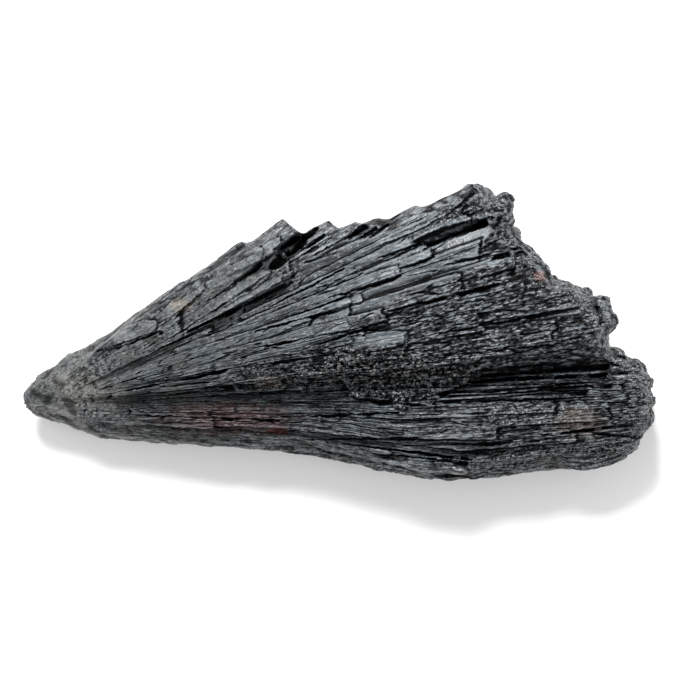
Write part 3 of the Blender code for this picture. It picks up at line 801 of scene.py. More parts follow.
@dataclass
class Outline:
    """The worn stone's outline in plan, for finding how far inside it a point lies."""

    solid: Solid
    low: Array
    high: Array
    step: float = 0.25

    def __post_init__(self) -> None:
        """Finds the cells along the outline."""
        across = np.arange(self.low[0] - 1.0, self.high[0] + 1.0, self.step)
        up = np.arange(self.low[1] - 1.0, self.high[1] + 1.0, self.step)
        x, y = np.meshgrid(across, up, indexing="ij")
        inside = ~np.isnan(self.solid.heights(x.ravel(), y.ravel())).reshape(x.shape)
        beside = np.zeros_like(inside)
        beside[1:] |= inside[:-1]
        beside[:-1] |= inside[1:]
        beside[:, 1:] |= inside[:, :-1]
        beside[:, :-1] |= inside[:, 1:]
        border = beside & ~inside
        places = np.stack([x[border], y[border]], axis=1)
        self.tree = KDTree(len(places))
        for number, (px, py) in enumerate(places.tolist()):
            self.tree.insert((px, py, 0.0), number)
        self.tree.balance()

    def depth(self, x: Array, y: Array) -> Array:
        """How far each point of the plan is from the outline, in mm.

        Args:
            x: the x of each point, in mm.
            y: the y of each point.

        Returns:
            One distance per point.
        """
        find = self.tree.find
        gaps = [find((px, py, 0.0))[2] for px, py in zip(x.tolist(), y.tolist())]
        return np.maximum(np.array(gaps) - 0.5 * self.step, 0.0)


@dataclass
class FaceSkin:
    """The fine surface of one side of one sheaf: a net of cells along the rays over the solid's own face.

    Its sizes are in mm and its rays in degrees.
    """

    name: str
    low_ray: float
    high_ray: float
    columns: int
    row_step: float
    start: float = 2.6
    upper: bool = True
    margin: float = 0.35
    longest: float = 69.0
    rim_rounding: float = 0.55
    wall_depth: float = 2.0
    wall_slope: float = 0.3

    def plan(self, ray: Array, distance: Array) -> tuple[Array, Array]:
        """The x and y of points on rays.

        Args:
            ray: the rays of the points.
            distance: their distances from the root.

        Returns:
            The x and the y of each point.
        """
        turned = np.radians(ray)
        straight_x = RAYS.root_x + distance * np.cos(turned)
        straight_y = RAYS.root_y + distance * np.sin(turned)
        bent_x = RAYS.root_x + distance
        share = (ray - RAYS.valley_ray) / (RAYS.bottom_ray - RAYS.valley_ray)
        bent_y = (RAYS.valley_y(bent_x) * (1.0 - share)
                  + np.interp(bent_x, RAYS.bottom_x, RAYS.bottom_y) * share)
        above = ray >= RAYS.valley_ray
        return np.where(above, straight_x, bent_x), np.where(above, straight_y, bent_y)

    def reaches(self, solid: Solid, rays: Array) -> Array:
        """How far the solid reaches along each ray.

        Args:
            solid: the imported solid.
            rays: the rays.

        Returns:
            One distance from the root per ray.
        """
        steps = np.arange(self.start, self.longest + 2.0, 0.25)
        grid_ray, grid_distance = np.meshgrid(rays, steps, indexing="ij")
        x, y = self.plan(grid_ray.ravel(), grid_distance.ravel())
        found = ~np.isnan(solid.heights(x, y, self.upper)).reshape(grid_ray.shape)
        last = found.shape[1] - 1 - np.argmax(found[:, ::-1], axis=1)
        return np.where(found.any(axis=1), steps[last], self.start + 0.3)

    def soften(self, rays: Array, reach: Array) -> Array:
        """Rounds the rim's corners, and leaves the teeth of the top edge sharp.

        Args:
            rays: the rays, evenly spaced.
            reach: how far the solid reaches along each.

        Returns:
            How far the skin reaches along each.
        """
        step = rays[1] - rays[0]
        half = max(1, int(self.rim_rounding / step))
        window = np.hanning(2 * half + 3)[1:-1]
        padded = np.pad(reach, half, mode="edge")
        smooth = np.convolve(padded, window / window.sum(), mode="valid")
        toothed = ease(25.5, 26.5, rays)
        return np.where(toothed > 0, reach * toothed + smooth * (1 - toothed), smooth)

    def spots(self, solid: Solid, outline: Outline, unit: Array, rows: int) -> Spots:
        """Lays the net out over the plan.

        Args:
            solid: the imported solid.
            outline: the worn stone's outline in plan.
            unit: where each point lies in the net, 0 to 1.
            rows: the number of rows of the net.

        Returns:
            The points of the net.
        """
        rays = np.linspace(self.low_ray, self.high_ray, self.columns + 1)
        reach_of = self.soften(rays, self.reaches(solid, rays))
        ray = self.low_ray + (self.high_ray - self.low_ray) * unit[:, 0]
        distance = np.minimum(self.start + unit[:, 1] * rows * self.row_step, np.interp(ray, rays, reach_of))
        x, y = self.plan(ray, distance)
        return Spots(x, y, ray, distance, outline.depth(x, y))

    def build(self, solid: Solid, outline: Outline, relief: Relief) -> bpy.types.Mesh:
        """Builds the skin.

        Args:
            solid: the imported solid.
            outline: the worn stone's outline in plan.
            relief: the stone's relief.

        Returns:
            The skin's mesh, in place.
        """
        rows = int((self.longest - self.start) / self.row_step)
        shape = bmesh.new()
        bmesh.ops.create_grid(shape, x_segments=self.columns, y_segments=rows, size=0.5)
        shape.verts.ensure_lookup_table()
        unit = np.array([vert.co[:2] for vert in shape.verts]) + 0.5
        spots = self.spots(solid, outline, unit, rows)
        worn_height = outline.solid.heights(spots.x, spots.y, self.upper)
        outside = np.isnan(worn_height) | (spots.depth < self.margin)
        height, gaps, marks = self.surface(solid, relief, spots, worn_height)
        self.add_hollows(marks, gaps, spots, self.crevices(height, unit, rows))
        marks["edge_depth"] = spots.depth
        layers = {name: shape.verts.layers.float.new(name) for name in marks}
        for vert, point in zip(shape.verts, np.stack([spots.x, spots.y, height], axis=1).tolist()):
            vert.co = point
        for name, layer in layers.items():
            for vert, value in zip(shape.verts, marks[name].tolist()):
                vert[layer] = value
        beyond = [vert for vert, gone in zip(shape.verts, outside.tolist()) if gone]
        bmesh.ops.delete(shape, geom=beyond, context="VERTS")
        bmesh.ops.remove_doubles(shape, verts=shape.verts, dist=1e-5)
        self.open_at_walls(shape)
        bmesh.ops.scale(shape, vec=Vector((MM,) * 3), verts=shape.verts)
        mesh = bpy.data.meshes.new(self.name)
        shape.to_mesh(mesh)
        shape.free()
        paint(mesh, "fan_place", fan_coordinates(points_of(mesh)) * np.array(SKIN_LAYERS))
        paint(mesh, "wall", ease(0.8, 0.45, np.abs(normals_of(mesh)[:, 2])))
        return mesh

    def open_at_walls(self, shape: bmesh.types.BMesh) -> None:
        """Takes away the faces that would hang in front of the stone's upright sides.

        Args:
            shape: the skin, in mm.
        """
        layer = shape.verts.layers.float["edge_depth"]
        shape.normal_update()
        hanging = [face for face in shape.faces if abs(face.normal.z) < self.wall_slope
                   and all(vert[layer] < self.wall_depth for vert in face.verts)]
        bmesh.ops.delete(shape, geom=hanging, context="FACES")

    def ground(self, solid: Solid, relief: Relief, spots: Spots, worn_height: Array) -> Array:
        """The height of the stone under the skin, with wandering edges, worn round at the outline.

        Args:
            solid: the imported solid.
            relief: the stone's relief.
            spots: the points.
            worn_height: the height of the worn stone at each point, or nan beyond it.

        Returns:
            The heights in mm.
        """
        noise, ray, distance = relief.noise, spots.ray, spots.distance
        loose = ease(4.0, 14.0, distance) * ease(0.3, 1.2, spots.depth)
        wander_along = 0.5 * noise[8].rough(ray * 1.1, distance / 1.6, 3) * loose
        wander_across = 0.10 * noise[9].rough(ray * 0.8 + 9.0, distance / 2.2, 3) * loose
        shifted = ray + np.degrees(wander_across / np.maximum(distance, 6.0))
        x, y = self.plan(np.clip(shifted, self.low_ray, self.high_ray), distance + wander_along)
        height = solid.heights(x, y, self.upper)
        height = np.where(np.isnan(height), solid.heights(spots.x, spots.y, self.upper), height)
        height = self.patch(height, ray, distance)
        firm = np.where(np.isnan(worn_height), 1.0, ease(0.6, 3.2, spots.depth))
        return height * firm + np.nan_to_num(worn_height) * (1.0 - firm)

    def surface(self, solid: Solid, relief: Relief, spots: Spots,
                worn_height: Array) -> tuple[Array, Array, dict[str, Array]]:
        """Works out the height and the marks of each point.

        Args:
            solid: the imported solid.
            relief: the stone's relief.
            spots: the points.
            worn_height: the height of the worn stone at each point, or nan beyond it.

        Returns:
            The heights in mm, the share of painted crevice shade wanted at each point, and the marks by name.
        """
        kinds = Kinds(spots, relief.noise, self.upper)
        growth = Growth(relief, spots, kinds)
        push, gaps, crest = growth.push(), growth.gaps(), np.zeros_like(spots.x)
        if self.upper:
            jagged = 0.08 * relief.noise[6].rough(spots.x * 1.1, spots.y * 1.1, 3) + 0.05 * growth.fine_grains
            single, crest, hole = marked(spots.x, spots.y, jagged, relief.uneven(spots.ray, spots.distance))
            push += single
            # Holes and gaps get painted shade, raised blades none.
            gaps = np.clip(gaps * (1.0 - crest) + 2.0 * hole, 0.0, 2.0) * (1.0 - 0.9 * crest)
        push *= self.calmness(spots.distance)
        push -= 1.3 * (1.0 - ease(self.margin, self.margin + 0.5, spots.depth))
        push -= 1.0 - ease(2.8, 4.2, spots.distance)
        way = 1.0 if self.upper else -1.0
        height = self.ground(solid, relief, spots, worn_height) + way * (push - 0.12)
        return height, gaps, growth.marks(crest, spots.ray)

    def add_hollows(self, marks: dict[str, Array], gaps: Array, spots: Spots,
                    drops: tuple[Array, Array]) -> None:
        """Adds the painted shade of the hollows to the marks, and paints a highlight on what stands above its
        neighbours.

        Args:
            marks: the marks by name.
            gaps: the share of painted crevice shade wanted at each point.
            spots: the points.
            drops: how far each point lies below its near and below its wider surroundings.
        """
        near, wide = (drop / self.calmness(spots.distance) ** 1.7 for drop in drops)
        crest = ease(0.0, 0.1, -near)
        # Painted shade where a point lies below its neighbours, in gaps and in holes.
        hollow = np.maximum(ease(0.01, 0.10, near), ease(0.06, 0.4, wide) * (1.0 - crest)) + 0.5 * gaps
        hollow = np.where(marks["crust"] > 0.2, np.maximum(ease(0.03, 0.16, near), 0.3 * gaps), hollow)
        shown = ease(0.3, 1.0, spots.depth) * (1.0 - 0.9 * marks.pop("held_up"))
        marks["hollow"] = np.clip(hollow, 0.0, 1.0) * shown
        # Painted highlight where a point stands above its neighbours.
        marks["tone_and_highlight"] = np.clip(marks["tone_and_highlight"] + 0.45 * ease(0.0, 0.12, -near), 0.0, 1.0)

    @staticmethod
    def calmness(distance: Array) -> Array:
        """The share of the relief's height that is left towards the rim, where the blades lie tighter."""
        return 1.0 - 0.35 * ease(32.0, 46.0, distance)

    def crevices(self, height: Array, unit: Array, rows: int) -> tuple[Array, Array]:
        """Compares each point with its neighbours, for the painted shade in the hollows and the painted
        highlights on what stands out.

        Args:
            height: the heights of the points.
            unit: where each point lies in the net, 0 to 1.
            rows: the number of rows of the net.

        Returns:
            How far each point lies below the mean of its near and of its wider surroundings, in mm.
        """
        across = np.rint(unit[:, 0] * self.columns).astype(int)
        along = np.rint(unit[:, 1] * rows).astype(int)
        net = np.zeros((self.columns + 1, rows + 1))
        net[across, along] = height * (1.0 if self.upper else -1.0)
        near = box_mean(net, 4, 2) - net
        wide = box_mean(net, 14, 6) - net
        return near[across, along], wide[across, along]

    @staticmethod
    def patch(height: Array, ray: Array, distance: Array) -> Array:
        """Gives points that missed the solid the height of the next one inwards on their ray.

        Args:
            height: the heights of the points, some of them nan.
            ray: their rays.
            distance: their distances from the root.

        Returns:
            The heights without nan.
        """
        if not np.isnan(height).any():
            return height
        order = np.lexsort((distance, np.round(ray, 6)))
        values = height[order]
        known = ~np.isnan(values)
        last = np.maximum.accumulate(np.where(known, np.arange(len(values)), -1))
        first = int(np.argmax(known))
        filled = values[np.where(last < 0, first, last)]
        result = np.empty_like(height)
        result[order] = filled
        return result


SKINS = (
    FaceSkin("flap_face", 25.8, 76.0, 430, 0.17),
    FaceSkin("blade_face", 14.2, 26.1, 150, 0.17),
    FaceSkin("middle_face", 2.7, 14.5, 160, 0.17),
    FaceSkin("lower_sheaf_face", -13.0, 3.1, 230, 0.17),
    FaceSkin("upper_sheaf_back", 2.7, 76.0, 330, 0.42, upper=False, margin=1.6),
    FaceSkin("lower_sheaf_back", -13.0, 3.1, 130, 0.42, upper=False, margin=1.6),
)


def box_mean(net: Array, half_across: int, half_along: int) -> Array:
    """The mean of a net over a window round each cell.

    Args:
        net: the net of values.
        half_across: half the window's width, in cells.
        half_along: half its length.

    Returns:
        The means.
    """
    for axis, half in ((0, half_across), (1, half_along)):
        padding = [(0, 0), (0, 0)]
        padding[axis] = (half + 1, half)
        total = np.cumsum(np.pad(net, padding, mode="edge"), axis=axis)
        size = 2 * half + 1
        if axis == 0:
            net = (total[size:] - total[:-size]) / size
        else:
            net = (total[:, size:] - total[:, :-size]) / size
    return net


def points_of(mesh: bpy.types.Mesh) -> Array:
    """The vertices of a mesh, in mm.

    Args:
        mesh: the mesh.

    Returns:
        An array of n rows, x, y and z.
    """
    flat = np.empty(len(mesh.vertices) * 3, dtype=np.float64)
    mesh.vertices.foreach_get("co", flat)
    return flat.reshape(-1, 3) / MM


def normals_of(mesh: bpy.types.Mesh) -> Array:
    """The normals of a mesh's vertices.

    Args:
        mesh: the mesh.

    Returns:
        An array of n unit vectors.
    """
    flat = np.empty(len(mesh.vertices) * 3, dtype=np.float64)
    mesh.vertex_normals.foreach_get("vector", flat)
    return flat.reshape(-1, 3)


def move_points(mesh: bpy.types.Mesh, points: Array) -> None:
    """Puts the vertices of a mesh at points in mm."""
    mesh.vertices.foreach_set("co", (points * MM).astype(np.float32).ravel())
    mesh.update()


def paint(mesh: bpy.types.Mesh, name: str, values: Array) -> None:
    """Stores one number, or one vector, for each vertex.

    Args:
        mesh: the mesh to mark.
        name: the attribute's name.
        values: n numbers, or n rows of three.
    """
    kind, key = ("FLOAT", "value") if values.ndim == 1 else ("FLOAT_VECTOR", "vector")
    layer = mesh.attributes.new(name, kind, "POINT")
    layer.data.foreach_set(key, values.astype(np.float32).ravel())


def fan_coordinates(points: Array) -> Array:
    """Coordinates that run across the rays, along them and up, in mm, for patterns that follow the blades."""
    ray, distance = RAYS.place(points)
    return np.stack([np.radians(ray) * FAN_RADIUS, distance, points[:, 2]], axis=1)


def in_metres(*sizes: float) -> tuple[float, ...]:
    """Sizes in mm as sizes in metres."""
    return tuple(size * MM for size in sizes)


def new_piece(name: str, mesh: bpy.types.Mesh, material: bpy.types.Material) -> bpy.types.Object:
    """Makes an object of a finished mesh, riding on the fan.

    Args:
        name: the piece's name.
        mesh: its mesh, in place.
        material: its finish.

    Returns:
        The object.
    """
    piece = bpy.data.objects.new(name, mesh)
    bpy.context.scene.collection.objects.link(piece)
    mesh.materials.clear()
    mesh.materials.append(material)
    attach(piece, BODY)
    LOG.info("%s: %d faces", name, sum(len(face.vertices) - 2 for face in mesh.polygons))
    return piece


class EdgeGrowth:
    """The ledges, grooves, knobs and blade ends that cover the stone's rim, edges and root."""

    def __init__(self, relief: Relief, points: Array, normals: Array) -> None:
        """Grows each of them over points of the stone.

        Args:
            relief: the stone's relief.
            points: the points, n rows in mm.
            normals: the smoothed stone's normals there.
        """
        noise = relief.noise
        ray, distance = RAYS.place(points)
        place = fan_coordinates(points)
        across, along, up = place[:, 0], place[:, 1], place[:, 2]
        ahead = np.abs(np.einsum("ij,ij->i", normals, RAYS.growth(points)))
        blunt = ease(0.4, 0.8, ahead)
        self.ray, self.distance, self.place = ray, distance, place
        self.far = ease(3.0, 16.0, distance) * (1.0 - ease(0.45, 0.75, ahead))
        plain = ease(21.0, 24.5, ray) * ease(6.0, 12.0, distance) * (1.0 - ease(51.0, 53.0, distance))
        self.bumpy = 1.0 - 0.75 * plain
        layers = up * 1.25 + 0.35 * across + 0.5 * noise[6].flat(along / 5.0, up / 2.5)
        layer = np.floor(layers)
        self.step = layers - layer
        self.ledges = self.step * (0.5 + 0.5 * noise[7].flat(layer * 5.3, along / 5.0))
        self.grooves = noise[0].flat(up * 2.2 + 1.2 * across, along / 5.0)
        self.fibres = noise[1].flat(up * 4.4 + 2.6 * across, along / 2.2)
        self.lumps = noise[3].solid(points * 0.45)
        self.knobs = noise[2].solid(points * np.array([0.8, 1.2, 1.2]))
        self.grain = noise[4].solid(place * np.array([2.6, 1.1, 2.6]))
        self.fine_grain = noise[5].solid(place * np.array([4.4, 2.2, 4.4]))
        column = np.floor(across / 1.3 + 0.35 * noise[8].flat(up / 1.6, across / 3.0))
        course = up / 0.75 + 0.8 * noise[9].flat(across / 1.4, column * 3.7)
        self.ends = noise[10].level(column * 57.0 + np.floor(course) * 29.0) * blunt
        self.joint = ease(0.14, 0.02, course - np.floor(course)) * blunt

    def push(self) -> Array:
        """How far the growth raises each point along its normal, in mm."""
        push = 0.22 * self.ledges + 0.16 * self.grooves + 0.12 * self.fibres
        push *= self.far * (0.4 + 0.6 * self.bumpy)
        push += (0.16 * self.lumps + 0.14 * self.knobs * (1.1 - self.far)) * self.bumpy
        push += (0.07 * self.grain + 0.04 * self.fine_grain) * (1.0 - 0.5 * self.far) * self.bumpy
        return push + 0.14 * self.ends * self.bumpy

    def hollow(self) -> Array:
        """How dark each point is: painted shade in the hollows between knobs, layers and grains, and dark
        joints between blade ends; 1 is all of it.
        """
        between_knobs = ease(0.15, 0.5, -self.knobs) * (1.0 - self.far)
        between_layers = (ease(0.15, 0.5, -self.grooves) + ease(0.15, 0.02, self.step)) * self.far
        return 0.8 * self.joint + ease(0.12, 0.5, -self.grain) + between_knobs + between_layers

    def marks(self, hollow: Array) -> dict[str, Array]:
        """The values that the finish reads at each point.

        Args:
            hollow: the share of painted shade in the hollows, with the single gaps and holes in it.

        Returns:
            The values by their names.
        """
        even = np.ones_like(self.ray)
        return {"fan_place": self.place,
                # The stone's own tone, with a painted highlight on raised knobs and grains.
                "tone_and_highlight": np.clip(0.5 + 0.25 * self.knobs + 0.2 * self.grain + 0.16 * self.ends, 0, 1),
                "hollow": np.clip(0.8 * hollow, 0, 1),
                "rough": 0.3 * even,
                "crust": 0.06 + 0.14 * ease(45.0, 52.0, self.distance) * self.bumpy,
                "weathered": 0.2 * (1.0 - ease(4.0, 12.0, self.distance)),
                "shade": 0.35 * even}


@dataclass
class StoneForm:
    """The stone's bare rim, edges and root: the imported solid's form, worn round, open under the skins."""

    cad: bpy.types.Object
    voxel: float = 0.185
    wear_rounds: int = 5
    rim_rounds: int = 70
    form_rounds: int = 16
    bare: float = 2.0
    tuck: float = 0.6

    def copy_solid(self) -> bpy.types.Mesh:
        """Copies the solid's mesh with its loose triangles joined."""
        mesh = self.cad.data.copy()
        shape = bmesh.new()
        shape.from_mesh(mesh)
        bmesh.ops.remove_doubles(shape, verts=shape.verts, dist=JOIN)
        shape.to_mesh(mesh)
        shape.free()
        return mesh

    @staticmethod
    def modified(mesh: bpy.types.Mesh, kind: str, share: Array | None = None,
                 **settings: object) -> bpy.types.Mesh:
        """Applies one modifier to a mesh.

        Args:
            mesh: the mesh.
            kind: the modifier's type.
            share: how much each vertex takes part, 0 to 1, kept as the group "worn".
            settings: the modifier's settings.

        Returns:
            The changed mesh.
        """
        helper = bpy.data.objects.new("form_helper", mesh)
        bpy.context.scene.collection.objects.link(helper)
        if share is not None:
            group = helper.vertex_groups.new(name="worn")
            levels = np.rint(share * 10.0).astype(int)
            for level in range(1, 11):
                group.add(np.flatnonzero(levels == level).tolist(), level / 10.0, "REPLACE")
        step = helper.modifiers.new("form_step", kind)
        for key, value in settings.items():
            setattr(step, key, value)
        bpy.context.view_layer.update()
        graph = bpy.context.evaluated_depsgraph_get()
        changed = bpy.data.meshes.new_from_object(helper.evaluated_get(graph))
        bpy.data.objects.remove(helper, do_unlink=True)
        return changed

    def wear(self, mesh: bpy.types.Mesh, rounds: int, rim_only: bool = False) -> bpy.types.Mesh:
        """Rounds a mesh's edges, everywhere or along the rim only.

        Args:
            mesh: the mesh.
            rounds: how many rounds of smoothing it gets.
            rim_only: whether only the rim and the flap's tip are worn.

        Returns:
            The worn mesh.
        """
        points = points_of(mesh)
        share = np.ones(len(points))
        if rim_only:
            ray, distance = RAYS.place(points)
            tip = 1.0 - ease(0.8, 2.4, np.hypot(points[:, 0] - TIP[0], points[:, 1] - TIP[1]))
            rim = ease(27.0, 25.0, ray) * ease(42.0, 48.0, distance)
            share = np.max([rim, ease(50.0, 52.0, distance), tip], axis=0)
        return self.modified(mesh, "SMOOTH", share, factor=0.5, iterations=rounds, vertex_group="worn")

    def worn(self) -> bpy.types.Mesh:
        """The solid's form under an even net of small faces, its edges rounded, most along the rim."""
        mesh = self.modified(self.copy_solid(), "REMESH", mode="VOXEL", voxel_size=self.voxel * MM)
        return self.wear(self.wear(mesh, self.wear_rounds), self.rim_rounds, rim_only=True)

    def build(self, mesh: bpy.types.Mesh, relief: Relief, outline: Outline) -> bpy.types.Mesh:
        """Makes the stone's mesh.

        Args:
            mesh: the worn form.
            relief: the stone's relief.
            outline: the worn stone's outline in plan.

        Returns:
            The mesh, in place.
        """
        points, normals = points_of(mesh), normals_of(self.wear(mesh.copy(), self.form_rounds))
        growth = EdgeGrowth(relief, points, normals)
        x, y, level = points[:, 0], points[:, 1], np.abs(normals[:, 2])
        depth = outline.depth(x, y)
        hidden = (depth > self.bare) & (level > 0.3) & (growth.distance > 5.5)
        tucked = ease(1.3, self.bare, depth) * ease(0.2, 0.5, level) * ease(4.2, 5.5, growth.distance)
        moved = points + normals * (growth.push() - 0.06 - self.tuck * tucked)[:, None]
        single, crest, hole = marked(x, y, 0.1 * growth.grain, relief.uneven(growth.ray, growth.distance))
        above = ease(0.35, 0.6, normals[:, 2])
        moved[:, 2] += single * above
        move_points(mesh, moved)
        # Painted shade in the hollows and holes, none on raised blades.
        hollow = np.clip(growth.hollow() * (1.0 - crest * above) + hole * above, 0.0, 1.0)
        for name, values in growth.marks(hollow).items():
            paint(mesh, name, values)
        paint(mesh, "hidden", hidden.astype(float))
        self.open_under_skins(mesh)
        return mesh

    @staticmethod
    def open_under_skins(mesh: bpy.types.Mesh) -> None:
        """Takes away the faces whose corners are all hidden under a skin.

        Args:
            mesh: the stone's mesh, with its marks.
        """
        shape = bmesh.new()
        shape.from_mesh(mesh)
        layer = shape.verts.layers.float["hidden"]
        under = [face for face in shape.faces if all(vert[layer] > 0.5 for vert in face.verts)]
        bmesh.ops.delete(shape, geom=under, context="FACES")
        shape.to_mesh(mesh)
        shape.free()


class Wiring:
    """Short ways to place and join shader nodes in one tree."""

    def __init__(self, tree: Tree) -> None:
        """Keeps the tree."""
        self.tree = tree

    def add(self, kind: str, **settings: object) -> Node:
        """Adds a node and sets its own settings.

        Args:
            kind: the node's type.
            settings: its own settings.

        Returns:
            The node.
        """
        node = self.tree.nodes.new(kind)
        for key, value in settings.items():
            setattr(node, key, value)
        return node

    def feed(self, socket: Socket, source: Source) -> None:
        """Links a socket to a source, or sets it to a value."""
        if isinstance(source, bpy.types.NodeSocket):
            self.tree.links.new(source, socket)
        else:
            socket.default_value = source

    def group(self, tree: Tree, **inputs: Source) -> Node:
        """Places a node group and feeds its inputs.

        Args:
            tree: the node group.
            inputs: what feeds its inputs, by their names.

        Returns:
            The node.
        """
        node = self.add("ShaderNodeGroup", node_tree=tree)
        for name, source in inputs.items():
            self.feed(node.inputs[name], source)
        return node

    def mark(self, name: str) -> Socket:
        """A number that the mesh holds for each vertex."""
        return self.add("ShaderNodeAttribute", attribute_name=name).outputs["Fac"]

    def math(self, operation: str, first: Source, second: Source = 0.0, clamp: bool = False) -> Socket:
        """One step of arithmetic.

        Args:
            operation: the Math node's operation.
            first: the first value.
            second: the second value, if it takes one.
            clamp: whether the result stays in 0 to 1.

        Returns:
            The result.
        """
        node = self.add("ShaderNodeMath", operation=operation, use_clamp=clamp)
        self.feed(node.inputs[0], first)
        self.feed(node.inputs[1], second)
        return node.outputs[0]

    def times(self, first: Source, second: Source) -> Socket:
        """The product of two values."""
        return self.math("MULTIPLY", first, second)

    def plus(self, total: Source, value: Source, share: Source) -> Socket:
        """A total with a share of a value added."""
        return self.math("ADD", total, self.times(value, share))

    def vector(self, operation: str, first: Source, second: Source = (0.0, 0.0, 0.0)) -> Socket:
        """One step of arithmetic with vectors; a second one that scales the first is a number.

        Args:
            operation: the Vector Math node's operation.
            first: the first vector.
            second: the second vector, or the number that the first is scaled by.

        Returns:
            The result, a vector, or a number for a length.
        """
        node = self.add("ShaderNodeVectorMath", operation=operation)
        self.feed(node.inputs[0], first)
        self.feed(node.inputs["Scale"] if operation == "SCALE" else node.inputs[1], second)
        return node.outputs["Value"] if operation == "LENGTH" else node.outputs[0]

    def ramp(self, value: Source, low: float, high: float) -> Socket:
        """A smooth rise from 0 to 1 between two values, or a fall if low is above high.

        Args:
            value: the value to grade.
            low: where the result is 0.
            high: where it is 1.

        Returns:
            The share.
        """
        flip = low > high
        node = self.add("ShaderNodeMapRange", interpolation_type="SMOOTHSTEP")
        self.feed(node.inputs["Value"], value)
        node.inputs["From Min"].default_value = min(low, high)
        node.inputs["From Max"].default_value = max(low, high)
        node.inputs["To Min"].default_value = 1.0 if flip else 0.0
        node.inputs["To Max"].default_value = 0.0 if flip else 1.0
        return node.outputs["Result"]

    def mix(self, factor: Source, first: Source, second: Source) -> Socket:
        """Mixes two colours.

        Args:
            factor: the share of the second colour.
            first: the first colour.
            second: the second colour.

        Returns:
            The mixed colour.
        """
        node = self.add("ShaderNodeMix", data_type="RGBA")
        self.feed(node.inputs[0], factor)
        self.feed(node.inputs[6], first)
        self.feed(node.inputs[7], second)
        return node.outputs[2]

    def noise(self, vector: Socket, scale: float, detail: float = 3.0, roughness: float = 0.55) -> Socket:
        """Fractal noise, 0 to 1.

        Args:
            vector: where it is looked up.
            scale: how many grains there are in one unit.
            detail: how many layers of detail there are.
            roughness: how strong the finer ones are.

        Returns:
            The noise.
        """
        node = self.add("ShaderNodeTexNoise")
        self.feed(node.inputs["Vector"], vector)
        node.inputs["Scale"].default_value = scale
        node.inputs["Detail"].default_value = detail
        node.inputs["Roughness"].default_value = roughness
        return node.outputs[0]

    def scaled(self, vector: Socket, scale: Triple, location: Triple = (0.0, 0.0, 0.0)) -> Socket:
        """A vector stretched and shifted by a Mapping node.

        Args:
            vector: the vector.
            scale: how far it is stretched along each axis.
            location: how far it is shifted.

        Returns:
            The changed vector.
        """
        node = self.add("ShaderNodeMapping")
        self.feed(node.inputs["Vector"], vector)
        node.inputs["Scale"].default_value = scale
        node.inputs["Location"].default_value = location
        return node.outputs[0]


class EffectGroups:
    """Shader node groups that a finish is mixed from."""

    def __init__(self) -> None:
        """Builds each group once."""
        self.streaks = self.build_streaks()
        self.stain = self.build_stain()
        self.chips = self.build_chips()

    @staticmethod
    def start(name: str, inputs: dict[str, str], outputs: dict[str, str]) -> tuple[Wiring, Node, Node]:
        """Starts a node group.

        Args:
            name: the group's name.
            inputs: input names and their socket types.
            outputs: output names and their socket types.

        Returns:
            The group's wiring, its input node and its output node.
        """
        tree = bpy.data.node_groups.new(name, "ShaderNodeTree")
        for label, kind in inputs.items():
            tree.interface.new_socket(label, in_out="INPUT", socket_type=kind)
        for label, kind in outputs.items():
            tree.interface.new_socket(label, in_out="OUTPUT", socket_type=kind)
        wires = Wiring(tree)
        return wires, wires.add("NodeGroupInput"), wires.add("NodeGroupOutput")

    def build_streaks(self) -> Tree:
        """Fine lines along the blades: a broad tone, a fine height and a mask of painted shade in their thin
        gaps.
        """
        wires, start, end = self.start("blade_streaks", {"Place": VECTOR},
                                       {"Tone": FLOAT, "Height": FLOAT, "GapShade": FLOAT})
        place = start.outputs["Place"]
        broad = wires.noise(wires.scaled(place, (0.9, 0.09, 0.5)), 1.0, 4.0)
        lines = wires.noise(wires.scaled(place, (5.0, 0.22, 2.5), (3.0, 1.0, 2.0)), 1.0, 4.0, 0.6)
        chips = wires.noise(wires.scaled(place, (2.6, 1.2, 2.0), (7.0, 4.0, 1.0)), 1.0, 4.0, 0.6)
        wires.feed(end.inputs["Tone"], wires.plus(wires.times(broad, 0.6), lines, 0.4))
        wires.feed(end.inputs["Height"], wires.plus(wires.times(lines, 0.7), chips, 0.5))
        wires.feed(end.inputs["GapShade"], wires.ramp(lines, 0.42, 0.33))
        return wires.tree

    def build_chips(self) -> Tree:
        """Broken grains, each with its own tone and tilt and a dark joint round it."""
        wires, start, end = self.start("broken_chips", {"Place": VECTOR, "Joint": FLOAT},
                                       {"Tone": FLOAT, "Tilt": VECTOR})
        cells = wires.add("ShaderNodeTexVoronoi", feature="F1")
        wires.feed(cells.inputs["Vector"], start.outputs["Place"])
        cells.inputs["Scale"].default_value = 1.0
        parts = wires.add("ShaderNodeSeparateColor")
        wires.feed(parts.inputs[0], cells.outputs["Color"])
        joint = wires.ramp(wires.math("DIVIDE", cells.outputs["Distance"], start.outputs["Joint"]), 1.5, 0.8)
        wires.feed(end.inputs["Tone"], wires.times(parts.outputs[0], joint))
        wires.feed(end.inputs["Tilt"], wires.vector("SUBTRACT", cells.outputs["Color"], (0.5, 0.5, 0.5)))
        return wires.tree

    def build_stain(self) -> Tree:
        """A soft patch with a ragged edge round a centre: 1 inside it, 0 outside."""
        inputs = {"Place": VECTOR, "Centre": VECTOR, "Reach": VECTOR, "Ragged": FLOAT}
        wires, start, end = self.start("stone_stain", inputs, {"Mask": FLOAT})
        offset = wires.vector("SUBTRACT", start.outputs["Place"], start.outputs["Centre"])
        away = wires.vector("LENGTH", wires.vector("DIVIDE", offset, start.outputs["Reach"]))
        ragged = wires.math("SUBTRACT", wires.noise(start.outputs["Place"], 900.0, 4.0, 0.65), 0.5)
        away = wires.plus(away, ragged, start.outputs["Ragged"])
        wires.feed(end.inputs["Mask"], wires.ramp(away, 1.1, 0.5))
        return wires.tree


